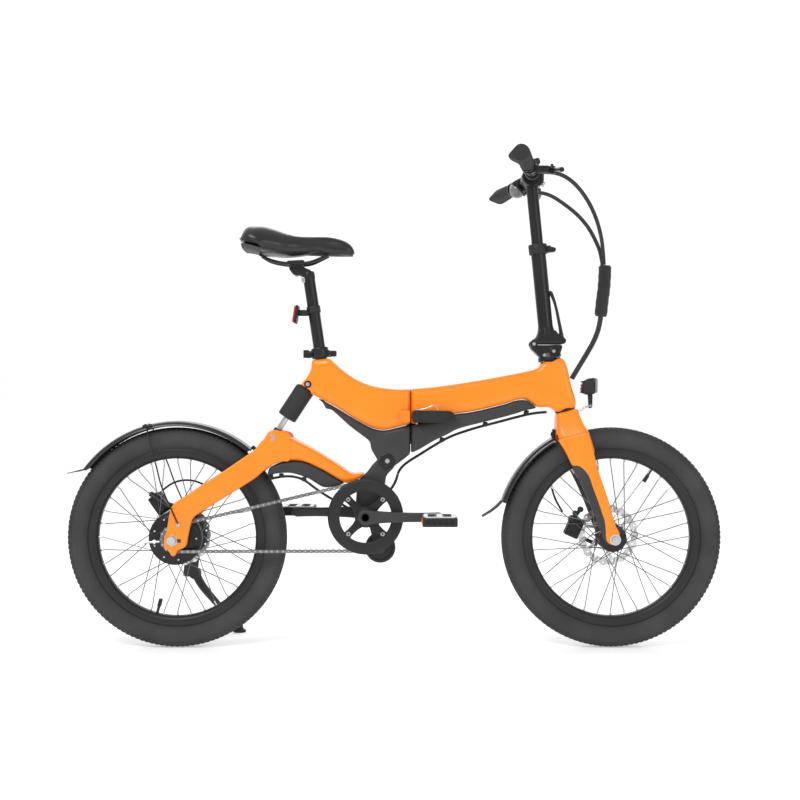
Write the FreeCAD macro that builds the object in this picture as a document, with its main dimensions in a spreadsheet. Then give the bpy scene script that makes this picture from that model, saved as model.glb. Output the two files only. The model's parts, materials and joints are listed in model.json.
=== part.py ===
"""Folding bicycle with a hub motor, a sprung swingarm and 20 inch wheels, in millimetres.

X points forwards, Y to the rider's left and Z up. The origin is on the ground, midway between the two axles.
Every sub-part is one object of the document, and its Label names its STEP file.
"""
import FreeCAD, Part
import math
import os
import re

from FreeCAD import Placement, Rotation, Vector

SIZES = {
    # wheels
    "wheelbase": 1000, "wheel_radius": 253, "tyre_section": 27, "tyre_wall": 3.5,
    "rim_radius": 203, "rim_inner_radius": 181, "rim_width": 31, "rim_wall": 2.5,
    "spoke_pairs": 9, "spoke_radius": 1.1, "rotor_radius": 70, "rotor_thickness": 2,
    "front_flange_radius": 31, "front_flange_half": 29,
    "motor_radius": 58, "motor_half": 35, "axle_radius": 5,
    "rotor_y": 39.5, "guard_radius": 267, "guard_width": 58, "guard_thickness": 2,
    # frame
    "frame_width": 72, "front_width": 70, "ear_gap": 54, "cover_width": 62,
    "seam_x": 38, "seam_gap": 0.8, "hinge_pin_radius": 5, "hinge_pin_y": 45, "knuckle_radius": 9,
    "pivot_x": -15.5, "pivot_z": 429.6, "pivot_radius": 8,
    "post_radius": 13.6, "post_tilt": 8.5, "seat_tube_radius": 19,
    "steer_tilt": 16.5, "steer_x": 395, "steer_z": 545.2, "head_length": 121,
    "steerer_radius": 14.3,
    # suspension
    "eye_top_x": -198, "eye_top_z": 605, "eye_low_x": -277.5, "eye_low_z": 484,
    "shock_radius": 22, "shock_rod_radius": 7, "shock_bolt_radius": 4, "eye_radius": 11, "eye_width": 24,
    # drive
    "bb_x": -64.6, "bb_z": 304.5, "bb_half": 34, "crank_length": 165, "crank_y": 68, "crank_thickness": 13,
    "chain_pitch": 12.7, "chain_y": 46, "ring_teeth": 39, "sprocket_teeth": 14, "roller_radius": 3.6,
    "tooth_thickness": 2.6, "tooth_clearance": 0.95, "tooth_height": 1.8,
    "pedal_width": 98, "pedal_length": 78, "pedal_thickness": 22, "pedal_inner": 84,
    # cockpit
    "handlepost_radius": 17, "extension_radius": 13.5, "handlepost_lean": 5.6,
    "bar_radius": 12.7, "bar_clamp_x": 316, "bar_z": 1082, "bar_half": 289, "bar_sweep": 52,
    "grip_radius": 16,
    "hose_radius": 3.8, "sleeve_radius": 15, "lower_hose_radius": 5.5, "cable_radius": 3,
}

doc = FreeCAD.newDocument("folding_bicycle")
sheet = doc.addObject("Spreadsheet::Sheet", "Sizes")
for row, (alias, value) in enumerate(SIZES.items(), start=1):
    sheet.set("A%d" % row, alias)
    sheet.set("B%d" % row, str(value))
    sheet.setAlias("B%d" % row, alias)
doc.recompute()

X, Y, Z = Vector(1, 0, 0), Vector(0, 1, 0), Vector(0, 0, 1)
nodes = []


def size(alias):
    """A driving dimension, as the sheet holds it."""
    return float(sheet.get(alias))


def bind(obj, **formulas):
    """Sets properties: a text is a formula in the sheet's aliases, and a number is set as it is."""
    for name, formula in formulas.items():
        if isinstance(formula, str):
            obj.setExpression(name, re.sub(r"[a-z][a-z_]+", lambda word: "Sizes." + word.group(), formula))
        else:
            setattr(obj, name, formula)
    return obj


def node(label, obj):
    """Names a finished sub-part."""
    obj.Label = label
    nodes.append(obj)
    return obj


def cylinder(name, radius, height, base, axis=Y):
    part = bind(doc.addObject("Part::Cylinder", name), Radius=radius, Height=height)
    part.Placement = Placement(Vector(*base), Rotation(Z, axis))
    return part


def pin(name, radius, half, x, z):
    """A cylinder across the bicycle, centred on its middle plane."""
    return cylinder(name, radius, 2 * half, (x, -half, z))


def box(name, lengths, corner, turn=0):
    """A box given by its lengths and lowest corner, turned about Y at that corner."""
    part = bind(doc.addObject("Part::Box", name), Length=lengths[0], Width=lengths[1], Height=lengths[2])
    part.Placement = Placement(Vector(*corner), Rotation(Y, turn))
    return part


def fuse(name, *parts):
    whole = doc.addObject("Part::MultiFuse", name)
    whole.Shapes = list(parts)
    return whole


def cut(name, base, *tools):
    for index, tool in enumerate(tools):
        piece = doc.addObject("Part::Cut", "%s_%d" % (name, index))
        piece.Base, piece.Tool = base, tool
        base = piece
    return base


def common(name, base, tool):
    piece = doc.addObject("Part::Common", name)
    piece.Base, piece.Tool = base, tool
    return piece


def group(name, *parts):
    """Separate solids that share one node."""
    whole = doc.addObject("Part::Compound", name)
    whole.Links = list(parts)
    return whole


def plane(body, role):
    return next(item for item in body.Origin.OriginFeatures if item.Role == role)


def draw(body, name, role, runs):
    """A sketch of one closed outline: each run is a line of two points or a spline through more."""
    sketch = body.newObject("Sketcher::SketchObject", name)
    sketch.AttachmentSupport = [(plane(body, role), "")]
    sketch.MapMode = "FlatFace"
    for run in runs:
        points = [Vector(u, v, 0) for u, v in run]
        if len(points) == 2:
            sketch.addGeometry(Part.LineSegment(*points))
        else:
            curve = Part.BSplineCurve()
            curve.interpolate(points)
            sketch.addGeometry(curve)
    return sketch


def closed(*points):
    """The runs of a polygon."""
    return [(points[i - 1], points[i]) for i in range(len(points))]


def plate(name, runs, width, y=0, yaw=0, hub=(0, 0)):
    """A side outline in (x, z), padded both ways from y; yaw turns it about the vertical through hub."""
    body = doc.addObject("PartDesign::Body", name)
    sketch = draw(body, name + "_outline", "XZ_Plane", runs)
    padded = body.newObject("PartDesign::Pad", name + "_pad")
    padded.Profile, padded.SideType = sketch, "Symmetric"
    bind(padded, Length=width)
    body.Placement = Placement(Vector(0, y, 0), Rotation(Z, yaw), Vector(hub[0], 0, 0))
    return body


def slab(name, runs, height, z):
    """A plan outline in (x, y), padded upwards from z."""
    body = doc.addObject("PartDesign::Body", name)
    sketch = draw(body, name + "_outline", "XY_Plane", runs)
    padded = body.newObject("PartDesign::Pad", name + "_pad")
    padded.Profile = sketch
    bind(padded, Length=height)
    body.Placement = Placement(Vector(0, 0, z), Rotation())
    return body


def turned(name, runs, centre, axis=Y, angle=360, start=0):
    """A profile in (radius, distance along the axis), revolved about an axis through centre."""
    body = doc.addObject("PartDesign::Body", name)
    sketch = draw(body, name + "_profile", "XZ_Plane", runs)
    revolved = body.newObject("PartDesign::Revolution", name + "_turn")
    revolved.Profile = sketch
    revolved.ReferenceAxis = (sketch, ["V_Axis"])
    revolved.Angle = angle
    body.Placement = Placement(Vector(*centre), Rotation(Z, axis) * Rotation(Z, start))
    return body


def route_wire(points, most=1e3):
    """Straight runs joined by tangent arcs, each as large as its runs allow or as the most reach given."""
    points = [Vector(*p) for p in points]
    edges, last = [], points[0]
    for before, corner, after in zip(points, points[1:], points[2:]):
        back, ahead = (before - corner), (after - corner)
        reach = min(0.45 * min(back.Length, ahead.Length), most)
        back.normalize()
        ahead.normalize()
        turn = math.pi - back.getAngle(ahead)
        radius = reach / math.tan(turn / 2)
        start, end = corner + back * reach, corner + ahead * reach
        inwards = (back + ahead).normalize()
        middle = corner + inwards * (radius / math.cos(turn / 2) - radius)
        edges += [Part.LineSegment(last, start).toShape(), Part.Arc(start, middle, end).toShape()]
        last = end
    edges.append(Part.LineSegment(last, points[-1]).toShape())
    return Part.Wire(edges)


def pipe(points, radius, most=1e3):
    wire = route_wire(points, most)
    start = wire.Edges[0]
    circle = Part.Wire(Part.makeCircle(radius, start.valueAt(start.FirstParameter), start.tangentAt(0)))
    return wire.makePipeShell([circle], True, False)


def pipes(name, routes, radius, most=1e3):
    """One node of tubes, whose volume is checked against section times length."""
    shapes = [pipe(points, radius, most) for points in routes]
    for points, shape in zip(routes, shapes):
        length = route_wire(points, most).Length
        ratio = shape.Volume / (length * math.pi * radius**2)
        print("%s length %.0f volume ratio %.3f" % (name, length, ratio))
    part = doc.addObject("Part::Feature", name)
    part.Shape = Part.makeCompound(shapes) if len(shapes) > 1 else shapes[0]
    return part


def rods(name, ends, radius):
    """Straight round rods between pairs of points."""
    shapes = []
    for a, b in ends:
        a, b = Vector(*a), Vector(*b)
        shapes.append(Part.makeCylinder(radius, (b - a).Length, a, b - a))
    part = doc.addObject("Part::Feature", name)
    part.Shape = Part.makeCompound(shapes)
    return part


def leaning(tilt):
    """The direction that leans back from the vertical by tilt degrees."""
    lean = math.radians(tilt)
    return Vector(-math.sin(lean), 0, math.cos(lean))


def up_post(distance):
    """The seat post's centre at a distance above the top of its seat tube."""
    return tuple(SEAT_TOP + POST_AXIS * distance)


def up_steerer(distance):
    """The steering axis at a distance above the foot of the head tube."""
    return tuple(HEAD_FOOT + STEER_AXIS * distance)


def up_handlepost(distance):
    """The handlepost's centre at a distance above its foot."""
    return tuple(HANDLE_FOOT + HANDLE_AXIS * distance)


def up_shock(distance):
    """The shock's centre line at a distance above its lower eye."""
    return (EYE_LOW[0] + SHOCK_AXIS.x * distance, 0, EYE_LOW[1] + SHOCK_AXIS.z * distance)


def ring(name, inner, outer, height, base, axis=Y):
    """A round collar with a bore, standing on base."""
    return turned(name, closed((inner, 0), (outer, 0), (outer, height), (inner, height)), base, axis)


FRONT_AXLE = (size("wheelbase") / 2, 0, size("wheel_radius"))
REAR_AXLE = (-size("wheelbase") / 2, 0, size("wheel_radius"))
PIVOT = (size("pivot_x"), size("pivot_z"))
BB = (size("bb_x"), size("bb_z"))
EYE_TOP = (size("eye_top_x"), size("eye_top_z"))
EYE_LOW = (size("eye_low_x"), size("eye_low_z"))
SEAT_TOP = Vector(-169, 0, 664.5)
POST_AXIS = leaning(size("post_tilt"))
STEER_AXIS = leaning(size("steer_tilt"))
HANDLE_AXIS = leaning(size("handlepost_lean"))
HANDLE_FOOT = Vector(352.5, 0, 708)
HEAD_FOOT = Vector(size("steer_x"), 0, size("steer_z"))
STEM_PIN = (321, 697.5)
ROLLER = (-32, 229)
BB_ARM = [((-35, 429.6), (-29, 443), (-15.5, 449), (-2, 443), (3.5, 429.6), (-1, 414)),
          ((-1, 414), (-20, 392), (-30, 340), (-34, 304.5)),
          ((-34, 304.5), (-42, 283), (-64.6, 273), (-88, 283), (-96, 304.5)),
          ((-96, 304.5), (-90, 350), (-80, 382), (-64, 402), (-48, 420), (-35, 429.6))]
SHOCK_AXIS = Vector(EYE_TOP[0] - EYE_LOW[0], 0, EYE_TOP[1] - EYE_LOW[1]).normalize()


# Wheels

def tyre(label, axle):
    radius, section, wall = size("wheel_radius"), size("tyre_section"), size("tyre_wall")
    middle, bead = radius - section, size("rim_radius") + 0.2
    low = math.asin((middle - bead) / section)
    low_inner = math.asin((middle - bead) / (section - wall))

    def arc(r, a):
        angles = [-a + (math.pi + 2 * a) * i / 8 for i in range(9)]
        return [(middle + r * math.sin(angle), -r * math.cos(angle)) for angle in angles]

    outer, inner = arc(section, low), arc(section - wall, low_inner)
    node(label, turned(label, [outer, (outer[-1], inner[-1]), inner[::-1], (inner[0], outer[0])], axle))


def rim(label, axle):
    top, bottom = size("rim_radius"), size("rim_inner_radius")
    half, wall = size("rim_width") / 2, size("rim_wall")
    outline = closed((top, -half), (top, -half + wall), (top - 7, -half + wall + 1),
                     (top - 7, half - wall - 1), (top, half - wall), (top, half), (bottom + 8, half),
                     (bottom, half / 2),
                     (bottom, -half / 2), (bottom + 8, -half))
    node(label, turned(label, outline, axle))


def spokes(label, axle, flange_radius, flange_half, lead):
    """Both sides' crossed pairs: lead is the angle round the hub from a spoke's root to its rim hole."""
    ends, reach = [], size("rim_inner_radius") - 0.3
    pairs = int(size("spoke_pairs"))
    for side in (-1, 1):
        for index in range(2 * pairs):
            rim_angle = math.radians((index + (0.5 if side > 0 else 0)) * 180 / pairs)
            way = 1 if index % 2 else -1
            hub_angle = rim_angle + way * math.radians(lead)
            hub_y, rim_y = side * (flange_half + way * 2.2), side * 3
            ends.append([(axle[0] + r * math.cos(a), y, axle[2] + r * math.sin(a))
                         for r, a, y in ((flange_radius + 1.6, hub_angle, hub_y), (reach, rim_angle, rim_y))])
    node(label, rods(label, ends, size("spoke_radius")))


def rotor(label, axle):
    """A brake disc: a slotted braking band on six swept arms."""
    body = doc.addObject("PartDesign::Body", label)
    sketch = body.newObject("Sketcher::SketchObject", label + "_rings")
    sketch.AttachmentSupport = [(plane(body, "XY_Plane"), "")]
    sketch.MapMode = "FlatFace"
    sketch.addGeometry(Part.Circle(Vector(), Z, size("rotor_radius")))
    sketch.addGeometry(Part.Circle(Vector(), Z, 18))
    disc = body.newObject("PartDesign::Pad", label + "_disc")
    disc.Profile = sketch
    bind(disc, Length="rotor_thickness")
    doc.recompute()
    window = draw(body, label + "_window", "XY_Plane", closed((27, -6), (54, -17), (52, 8), (30, 10)))
    windows = body.newObject("PartDesign::Pocket", label + "_pocket")
    windows.Profile, windows.Type, windows.Reversed = window, "ThroughAll", True
    doc.recompute()
    pattern = body.newObject("PartDesign::PolarPattern", label + "_arms")
    pattern.Originals = [windows]
    pattern.Axis = (plane(body, "Z_Axis"), [""])
    pattern.Angle, pattern.Occurrences = 360, 6
    body.Tip = pattern
    body.Placement = Placement(Vector(axle[0], size("rotor_y"), axle[2]), Rotation(Z, Y))
    return node(label, body)


def front_wheel():
    tyre("front_tyre", FRONT_AXLE)
    rim("front_rim", FRONT_AXLE)
    flange, half = size("front_flange_radius"), size("front_flange_half")
    spokes("front_spokes", FRONT_AXLE, flange, half, 62)
    bore = size("axle_radius") + 0.05
    seat = size("rotor_y") - 0.1
    outline = closed((bore, -47), (13, -47), (13, -36), (flange, -half - 3.5), (flange, -half + 3.5),
                     (17, -20), (17, 20), (flange, half - 3.5), (flange, half + 3.5), (20, 38), (20, seat),
                     (15, seat), (15, 47), (bore, 47))
    node("front_hub", turned("front_hub", outline, FRONT_AXLE))
    rotor("front_rotor", FRONT_AXLE)


def rear_wheel():
    tyre("rear_tyre", REAR_AXLE)
    rim("rear_rim", REAR_AXLE)
    radius, half, bore = size("motor_radius"), size("motor_half"), size("axle_radius") + 1.05
    spokes("rear_spokes", REAR_AXLE, radius + 3, half - 7.5, 28)
    wall, flange, seat = radius - 2, radius + 3, size("rotor_y") - 0.1
    outline = closed((bore, -half - 3.5), (16, -half - 3.5), (16, -half - 1), (radius - 12, -half),
                     (wall, -half + 4), (flange, -half + 4), (flange, -half + 11), (wall, -half + 12),
                     (wall, half - 12), (flange, half - 11), (flange, half - 4), (wall, half - 4),
                     (radius - 12, half), (22, half + 3), (22, seat), (15, seat), (15, 52), (bore, 52))
    node("hub_motor", turned("hub_motor", outline, REAR_AXLE))
    rotor("rear_rotor", REAR_AXLE)


# Chain drive

def drive_path():
    """Roller centres of the closed chain, one pitch apart, each with its place round the path."""
    pitch = size("chain_pitch")
    teeth = (int(size("ring_teeth")), int(size("sprocket_teeth")))
    big, small = (pitch / (2 * math.sin(math.pi / n)) for n in teeth)
    dx, dz = BB[0] - REAR_AXLE[0], BB[1] - REAR_AXLE[2]
    reach, tilt = math.hypot(dx, dz), math.atan2(dz, dx)
    flare = math.asin((big - small) / reach)
    run = math.sqrt(reach**2 - (big - small)**2)
    links = 2 * run / pitch + teeth[0] * (math.pi + 2 * flare) / (2 * math.pi)
    links = round(links + teeth[1] * (math.pi - 2 * flare) / (2 * math.pi))

    def at(u):
        """The pitch line's point u pitches on from where the top run leaves the sprocket."""
        up = tilt + math.pi / 2 + flare
        down = tilt - math.pi / 2 - flare
        if u * pitch < run:
            start = (REAR_AXLE[0] + small * math.cos(up), REAR_AXLE[2] + small * math.sin(up))
            heading = up - math.pi / 2
            return start[0] + u * pitch * math.cos(heading), start[1] + u * pitch * math.sin(heading)
        u -= run / pitch
        arc = teeth[0] * (math.pi + 2 * flare) / (2 * math.pi)
        if u < arc:
            angle = up - 2 * math.pi * u / teeth[0]
            return BB[0] + big * math.cos(angle), BB[1] + big * math.sin(angle)
        u -= arc
        if u * pitch < run:
            start = (BB[0] + big * math.cos(down), BB[1] + big * math.sin(down))
            heading = down - math.pi / 2
            return start[0] + u * pitch * math.cos(heading), start[1] + u * pitch * math.sin(heading)
        u -= run / pitch
        angle = down - 2 * math.pi * u / teeth[1]
        return REAR_AXLE[0] + small * math.cos(angle), REAR_AXLE[2] + small * math.sin(angle)

    return [at(u) for u in range(links)], big, small


def sprocket(name, teeth, pitch_radius, first_gap, thickness, bore):
    """A toothed disc whose gaps hold the chain's rollers: first_gap is one roller's centre from the axle."""
    body = doc.addObject("PartDesign::Body", name)
    sketch = body.newObject("Sketcher::SketchObject", name + "_disc")
    sketch.AttachmentSupport = [(plane(body, "XY_Plane"), "")]
    sketch.MapMode = "FlatFace"
    sketch.addGeometry(Part.Circle(Vector(), Z, pitch_radius + size("tooth_height")))
    sketch.addGeometry(Part.Circle(Vector(), Z, bore))
    disc = body.newObject("PartDesign::Pad", name + "_pad")
    disc.Profile, disc.SideType, disc.Length = sketch, "Symmetric", thickness
    doc.recompute()
    gap = body.newObject("Sketcher::SketchObject", name + "_gap")
    gap.AttachmentSupport = [(plane(body, "XY_Plane"), "")]
    gap.MapMode = "FlatFace"
    gap_radius = size("roller_radius") + size("tooth_clearance")
    gap.addGeometry(Part.Circle(Vector(first_gap[0], -first_gap[1], 0), Z, gap_radius))
    pocket = body.newObject("PartDesign::Pocket", name + "_tooth_gap")
    pocket.Profile, pocket.Type, pocket.SideType = gap, "ThroughAll", "Symmetric"
    doc.recompute()
    pattern = body.newObject("PartDesign::PolarPattern", name + "_teeth")
    pattern.Originals = [pocket]
    pattern.Axis = (plane(body, "Z_Axis"), [""])
    pattern.Angle, pattern.Occurrences = 360, teeth
    body.Tip = pattern
    return body


def chain_drive():
    rollers, big, small = drive_path()
    y = -size("chain_y")
    side_plates = []
    lane = Part.Wire([Part.LineSegment(Vector(a[0], 0, a[1]), Vector(b[0], 0, b[1])).toShape()
                      for a, b in zip(rollers, rollers[1:] + rollers[:1])])
    outer = Part.Face(lane.makeOffset2D(4.2))
    inner = Part.Face(lane.makeOffset2D(-4.2))
    band = outer.cut(inner)
    for start in (y - 3.4, y + 1.9):
        side_plates.append(band.translated(Vector(0, start, 0)).extrude(Vector(0, 1.5, 0)))
    pins = [Part.makeCylinder(size("roller_radius"), 3.8, Vector(x, y - 1.9, z), Y) for x, z in rollers]
    chain = doc.addObject("Part::Feature", "chain")
    chain.Shape = Part.makeCompound(side_plates + pins)
    node("chain", chain)

    def nearest_gap(centre, pitch_radius):
        """A roller that lies on the pitch circle, as an offset from its centre."""
        best = min(rollers, key=lambda p: abs(math.hypot(p[0] - centre[0], p[1] - centre[1]) - pitch_radius))
        return best[0] - centre[0], best[1] - centre[1]

    thickness = size("tooth_thickness")
    disc = sprocket("ring_disc", int(size("ring_teeth")), big, nearest_gap(BB, big), thickness, 58)
    disc.Placement = Placement(Vector(BB[0], y, BB[1]), Rotation(Z, Y))
    node("chainring", group("chainring", disc, chain_guard()))
    bore = size("axle_radius") + 1.15
    free = sprocket("freewheel_teeth", int(size("sprocket_teeth")), small,
                    nearest_gap((REAR_AXLE[0], REAR_AXLE[2]), small), thickness, bore)
    free.Placement = Placement(Vector(REAR_AXLE[0], y, REAR_AXLE[2]), Rotation(Z, Y))
    body = ring("freewheel_body", bore, 21, 14, (REAR_AXLE[0], y - 7, REAR_AXLE[2]))
    node("freewheel", fuse("freewheel", free, body))


def cranks():
    """Spider and guard ring, spindle, and the two arms, which are opposite each other."""
    length, y, thick = size("crank_length"), size("crank_y"), size("crank_thickness")
    x, z = BB
    arms = []
    for side, way in ((-1, 1), (1, -1)):
        tip = x + way * length
        outline = [((x, z + 17), (tip, z + 12)),
                   ((tip, z + 12), (tip + way * 9, z + 9), (tip + way * 12, z), (tip + way * 9, z - 9),
                    (tip, z - 12)),
                   ((tip, z - 12), (x, z - 17)),
                   ((x, z - 17), (x - way * 13, z - 12), (x - way * 18, z), (x - way * 13, z + 12),
                    (x, z + 17))]
        arm = plate("crank_arm_%d" % side, outline, thick, side * y)
        hole = cylinder("pedal_hole_%d" % side, 7.05, 40, (tip, side * y - 20, z))
        arms.append(cut("crank_%d" % side, arm, hole))
    spindle = pin("crank_spindle", 10, y - thick / 2, *BB)
    node("crankset", group("crankset", arms[0], arms[1], spindle))


def chain_guard():
    """The guard ring outside the chain, on the spider that carries both."""
    guard_y = -size("chain_y") - 5.6
    band = ring("guard_ring", 60, 86, 3, (BB[0], guard_y - 1.5, BB[1]))
    hub = turned("spider_hub", closed((10.1, -8), (22, -8), (22, 1.5), (10.1, 1.5)), (BB[0], guard_y, BB[1]))
    legs = []
    for index in range(4):
        turn = Rotation(Y, 45 + 90 * index)
        leg = box("spider_leg_%d" % index, (46, 12, 3), (0, 0, 0))
        leg_turn = turn * Rotation(X, 90)
        corner = leg_turn.multVec(Vector(18, -6, -1.5))
        leg.Placement = Placement(Vector(BB[0], guard_y, BB[1]) + corner, leg_turn)
        bolt = turn.multVec(Vector(57, 0, 0))
        boss = cylinder("ring_bolt_%d" % index, 6, 7.4, (BB[0] + bolt.x, guard_y - 1.5, BB[1] + bolt.z))
        legs += [leg, boss]
    return fuse("chain_guard", band, hub, *legs)


def pedal(label, side, x):
    """A platform pedal with two openings, on its spindle."""
    inner, width = size("pedal_inner"), size("pedal_width")
    length, thick = size("pedal_length"), size("pedal_thickness")
    low = inner if side > 0 else -inner - width
    block = box(label + "_block", (length, width, thick), (x - length / 2, low, BB[1] - thick / 2))
    openings = [box("%s_opening_%d" % (label, i), (26, width - 26, thick + 2),
                    (x + offset, low + 13, BB[1] - thick / 2 - 1)) for i, offset in enumerate((-32, 6))]
    root = size("crank_y") - 6
    spindle = cylinder(label + "_spindle", 7, inner - root, (x, root if side > 0 else -inner, BB[1]))
    node(label, fuse(label, cut(label + "_body", block, *openings), spindle))


# Frame

def rear_frame():
    seam, width = size("seam_x"), size("frame_width")
    outline = [((-190, 660), (-148, 667)),
               ((-148, 667), (-122, 641), (-80, 613), (-39, 599), (0, 594.5), (seam, 595)),
               ((seam, 595), (seam, 514)), ((seam, 514), (0, 505), (-20, 500.5), (-61, 510), (-100, 532),
               (-141, 557), (-187, 580)), ((-187, 580), (-214, 604)), ((-214, 604), (-200, 622), (-190, 660))]
    shell = plate("rear_shell", outline, "frame_width")
    hollow = plate("controller_bay", closed((seam + 1, 586), (-60, 592), (-118, 610), (-126, 580), (-60, 530),
                   (0, 517), (seam + 1, 524)), width - 12)
    post_bore = cylinder("post_bore", size("post_radius") + 0.05, 200, up_post(-150), POST_AXIS)
    room_axis = Vector(EYE_TOP[0] - EYE_LOW[0] + 4, 0, EYE_TOP[1] - EYE_LOW[1])
    room_foot = (EYE_LOW[0] - 8, 0, EYE_LOW[1])
    shock_room = cylinder("shock_room", size("shock_radius") + 6, 128, room_foot, room_axis)
    slot_width = size("eye_width") + 1.4
    eye_slot = box("eye_slot", (44, slot_width, 60), (EYE_TOP[0] - 26, -slot_width / 2, EYE_TOP[1] - 46))
    bolt_hole = pin("shock_bolt_hole", size("shock_bolt_radius") + 0.05, 60, *EYE_TOP)
    pin_y, tall = size("hinge_pin_y"), 22
    knuckles = [cylinder("rear_knuckle_%d" % low, "knuckle_radius", tall, (seam, pin_y, low), Z)
                for low in (470, 572)]
    web = box("rear_web_high", (22, pin_y - width / 2 + 2, tall), (seam - 22, width / 2 - 2, 572))
    pin_bore = cylinder("pin_bore", size("hinge_pin_radius") + 0.05, 160, (seam, pin_y, 450), Z)
    seat_tube = cylinder("seat_tube", "seat_tube_radius", 60, up_post(-60), POST_AXIS)
    keeper = box("latch_keeper", (25, 13, 27), (13, -width / 2 - 12.5, 518))
    whole = fuse("rear_frame_shape", shell, seat_tube, keeper, knuckles[1], web)
    rooms = (hollow, post_bore, shock_room, eye_slot, bolt_hole, pin_bore)
    node("rear_frame_half", cut("rear_frame_half", whole, *rooms))

    casting_outline = [((seam, 513.5), (0, 504.5), (-20, 500), (-61, 509.5), (-100, 531.5), (-141, 556.5),
                       (-186, 579.5)), ((-186, 579.5), (-184, 573)), ((-184, 573), (-150, 547), (-100, 508),
                       (-60, 477)), ((-60, 477), (-45, 440)),
                       ((-45, 440), (-36, 429), (-31, 414), (-15.5, 407), (0, 410), (15, 423)),
                       ((15, 423), (seam, 441)), ((seam, 441), (seam, 513.5))]
    casting = plate("casting_block", casting_outline, "frame_width - 4")
    clevis = plate("pivot_room", closed((-70, 400), (30, 400), (24, 452), (-18, 456), (-60, 456)), "ear_gap")
    pivot_hole = pin("pivot_hole", size("pivot_radius") + 0.05, 60, *PIVOT)
    low_web = box("rear_web_low", (22, pin_y - width / 2 + 6, tall), (seam - 22, width / 2 - 6, 470))
    lower = fuse("casting_shape", casting, knuckles[0], low_web)
    casting_bore = cylinder("casting_bore", size("post_radius") + 0.6, 240, up_post(-200), POST_AXIS)
    rooms = (clevis, pivot_hole, casting_bore, bolt_hole, pin_bore, shock_room)
    node("rear_frame_casting", cut("rear_frame_casting", lower, *rooms))
    pivot_axle = pin("pivot_axle", "pivot_radius", 37, *PIVOT)
    shock_bolt = pin("upper_shock_bolt", "shock_bolt_radius", 38, *EYE_TOP)
    hinge_pin = cylinder("frame_hinge_pin", "hinge_pin_radius", 128, (seam, pin_y, 468), Z)
    node("frame_pins", group("frame_pins", pivot_axle, shock_bolt, hinge_pin))
    node("motor_controller", box("motor_controller", (96, 46, 38), (-62, -23, 543)))


def seat_clamp():
    radius = size("post_radius") + 0.05
    low = up_post(4.5)
    collar = ring("collar_ring", radius, 21, 24, low, POST_AXIS)
    lug = box("collar_lug", (12, 16, 18), (-200, -8, 668), -size("post_tilt"))
    nut = cylinder("collar_nut", 6, 8, (-205, -16, 676))
    whole = fuse("collar_shape", collar, lug)
    post = cylinder("collar_bore", radius, 60, (low[0], 0, low[2] - 5), POST_AXIS)
    node("seat_collar", cut("seat_collar", whole, post, nut))
    hub = cylinder("collar_lever_hub", 6.5, 18, (-205, 22, 667), Z)
    arm = box("collar_lever_arm", (58, 5, 11), (-205, 22.5, 671))
    node("seat_collar_lever", fuse("seat_collar_lever", hub, arm))


def front_frame():
    start, width = size("seam_x") + size("seam_gap"), size("front_width")
    outline = [((start, 595), (100, 600), (200, 615), (300, 634), (341, 650)), ((341, 650), (343, 656)),
               ((343, 656), (383, 667)),
               ((383, 667), (395, 655), (401, 629), (405, 604), (415, 582), (416, 551)),
               ((416, 551), (373, 540)), ((373, 540), (359, 551), (330, 551)),
               ((330, 551), (315, 565), (300, 571), (260, 562), (180, 543), (88, 523), (start, 508)),
               ((start, 508), (start, 595))]
    beam = plate("front_shell", outline, "front_width")
    cheeks = []
    for side in (-1, 1):
        turn = Rotation(Z, -side * 6.8)
        cheek = box("cheek_%d" % side, (160, 60, 200), (0, 0, 0))
        corner = Vector(275, side * width / 2, 500)
        cheek.Placement = Placement(corner + turn.multVec(Vector(0, 0 if side > 0 else -60, 0)), turn)
        cheeks.append(cheek)
    room = closed((start - 1, 586), (110, 590), (300, 622), (300, 578), (250, 566), (140, 541),
                  (start - 1, 522))
    bay = plate("battery_bay", room, width - 10)
    head_bore = cylinder("head_bore", 19, 150, up_steerer(-12), STEER_AXIS)
    pin_x, pin_y = size("seam_x"), size("hinge_pin_y")
    knuckle = cylinder("front_knuckle", "knuckle_radius", 79, (pin_x, pin_y, 492.6), Z)
    web = box("front_web", (22, pin_y - width / 2 + 4, 60), (start, width / 2 - 4, 511))
    pin_bore = cylinder("front_pin_bore", size("hinge_pin_radius") + 0.05, 160, (pin_x, pin_y, 450), Z)
    whole = fuse("front_frame_shape", beam, web, knuckle)
    node("front_frame_half", cut("front_frame_half", whole, *cheeks, bay, head_bore, pin_bore))
    cover = [((start, 507.5), (88, 522.5), (180, 542.5), (260, 561.5), (300, 570.5), (315, 564.5),
              (329.5, 550.5)),
             ((329.5, 550.5), (280, 538), (200, 517), (140, 500), (100, 480), (start, 441)),
             ((start, 441), (start, 507.5))]
    node("underside_cover", plate("underside_cover", cover, "cover_width"))
    pack = closed((46, 582), (110, 585), (288, 615), (290, 581), (240, 566), (140, 545), (46, 527))
    node("battery_pack", plate("battery_pack", pack, 56))
    rings = []
    for distance in (0.5, size("head_length") - 10.5):
        rings.append(ring("headset_%d" % len(rings), 14.35, 19, 10, up_steerer(distance), STEER_AXIS))
    node("headset_bearings", group("headset_bearings", *rings))


def latch():
    """The over-centre lever that holds the frame's two halves shut."""
    side = -size("front_width") / 2
    hub = cylinder("latch_hub", 8.5, 27, (52, side - 9, 517.5), Z)
    arm = box("latch_arm", (86, 5, 26), (52, side - 13, 518))
    node("frame_latch_lever", fuse("frame_latch_lever", hub, arm))


# Suspension and swingarm

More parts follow.
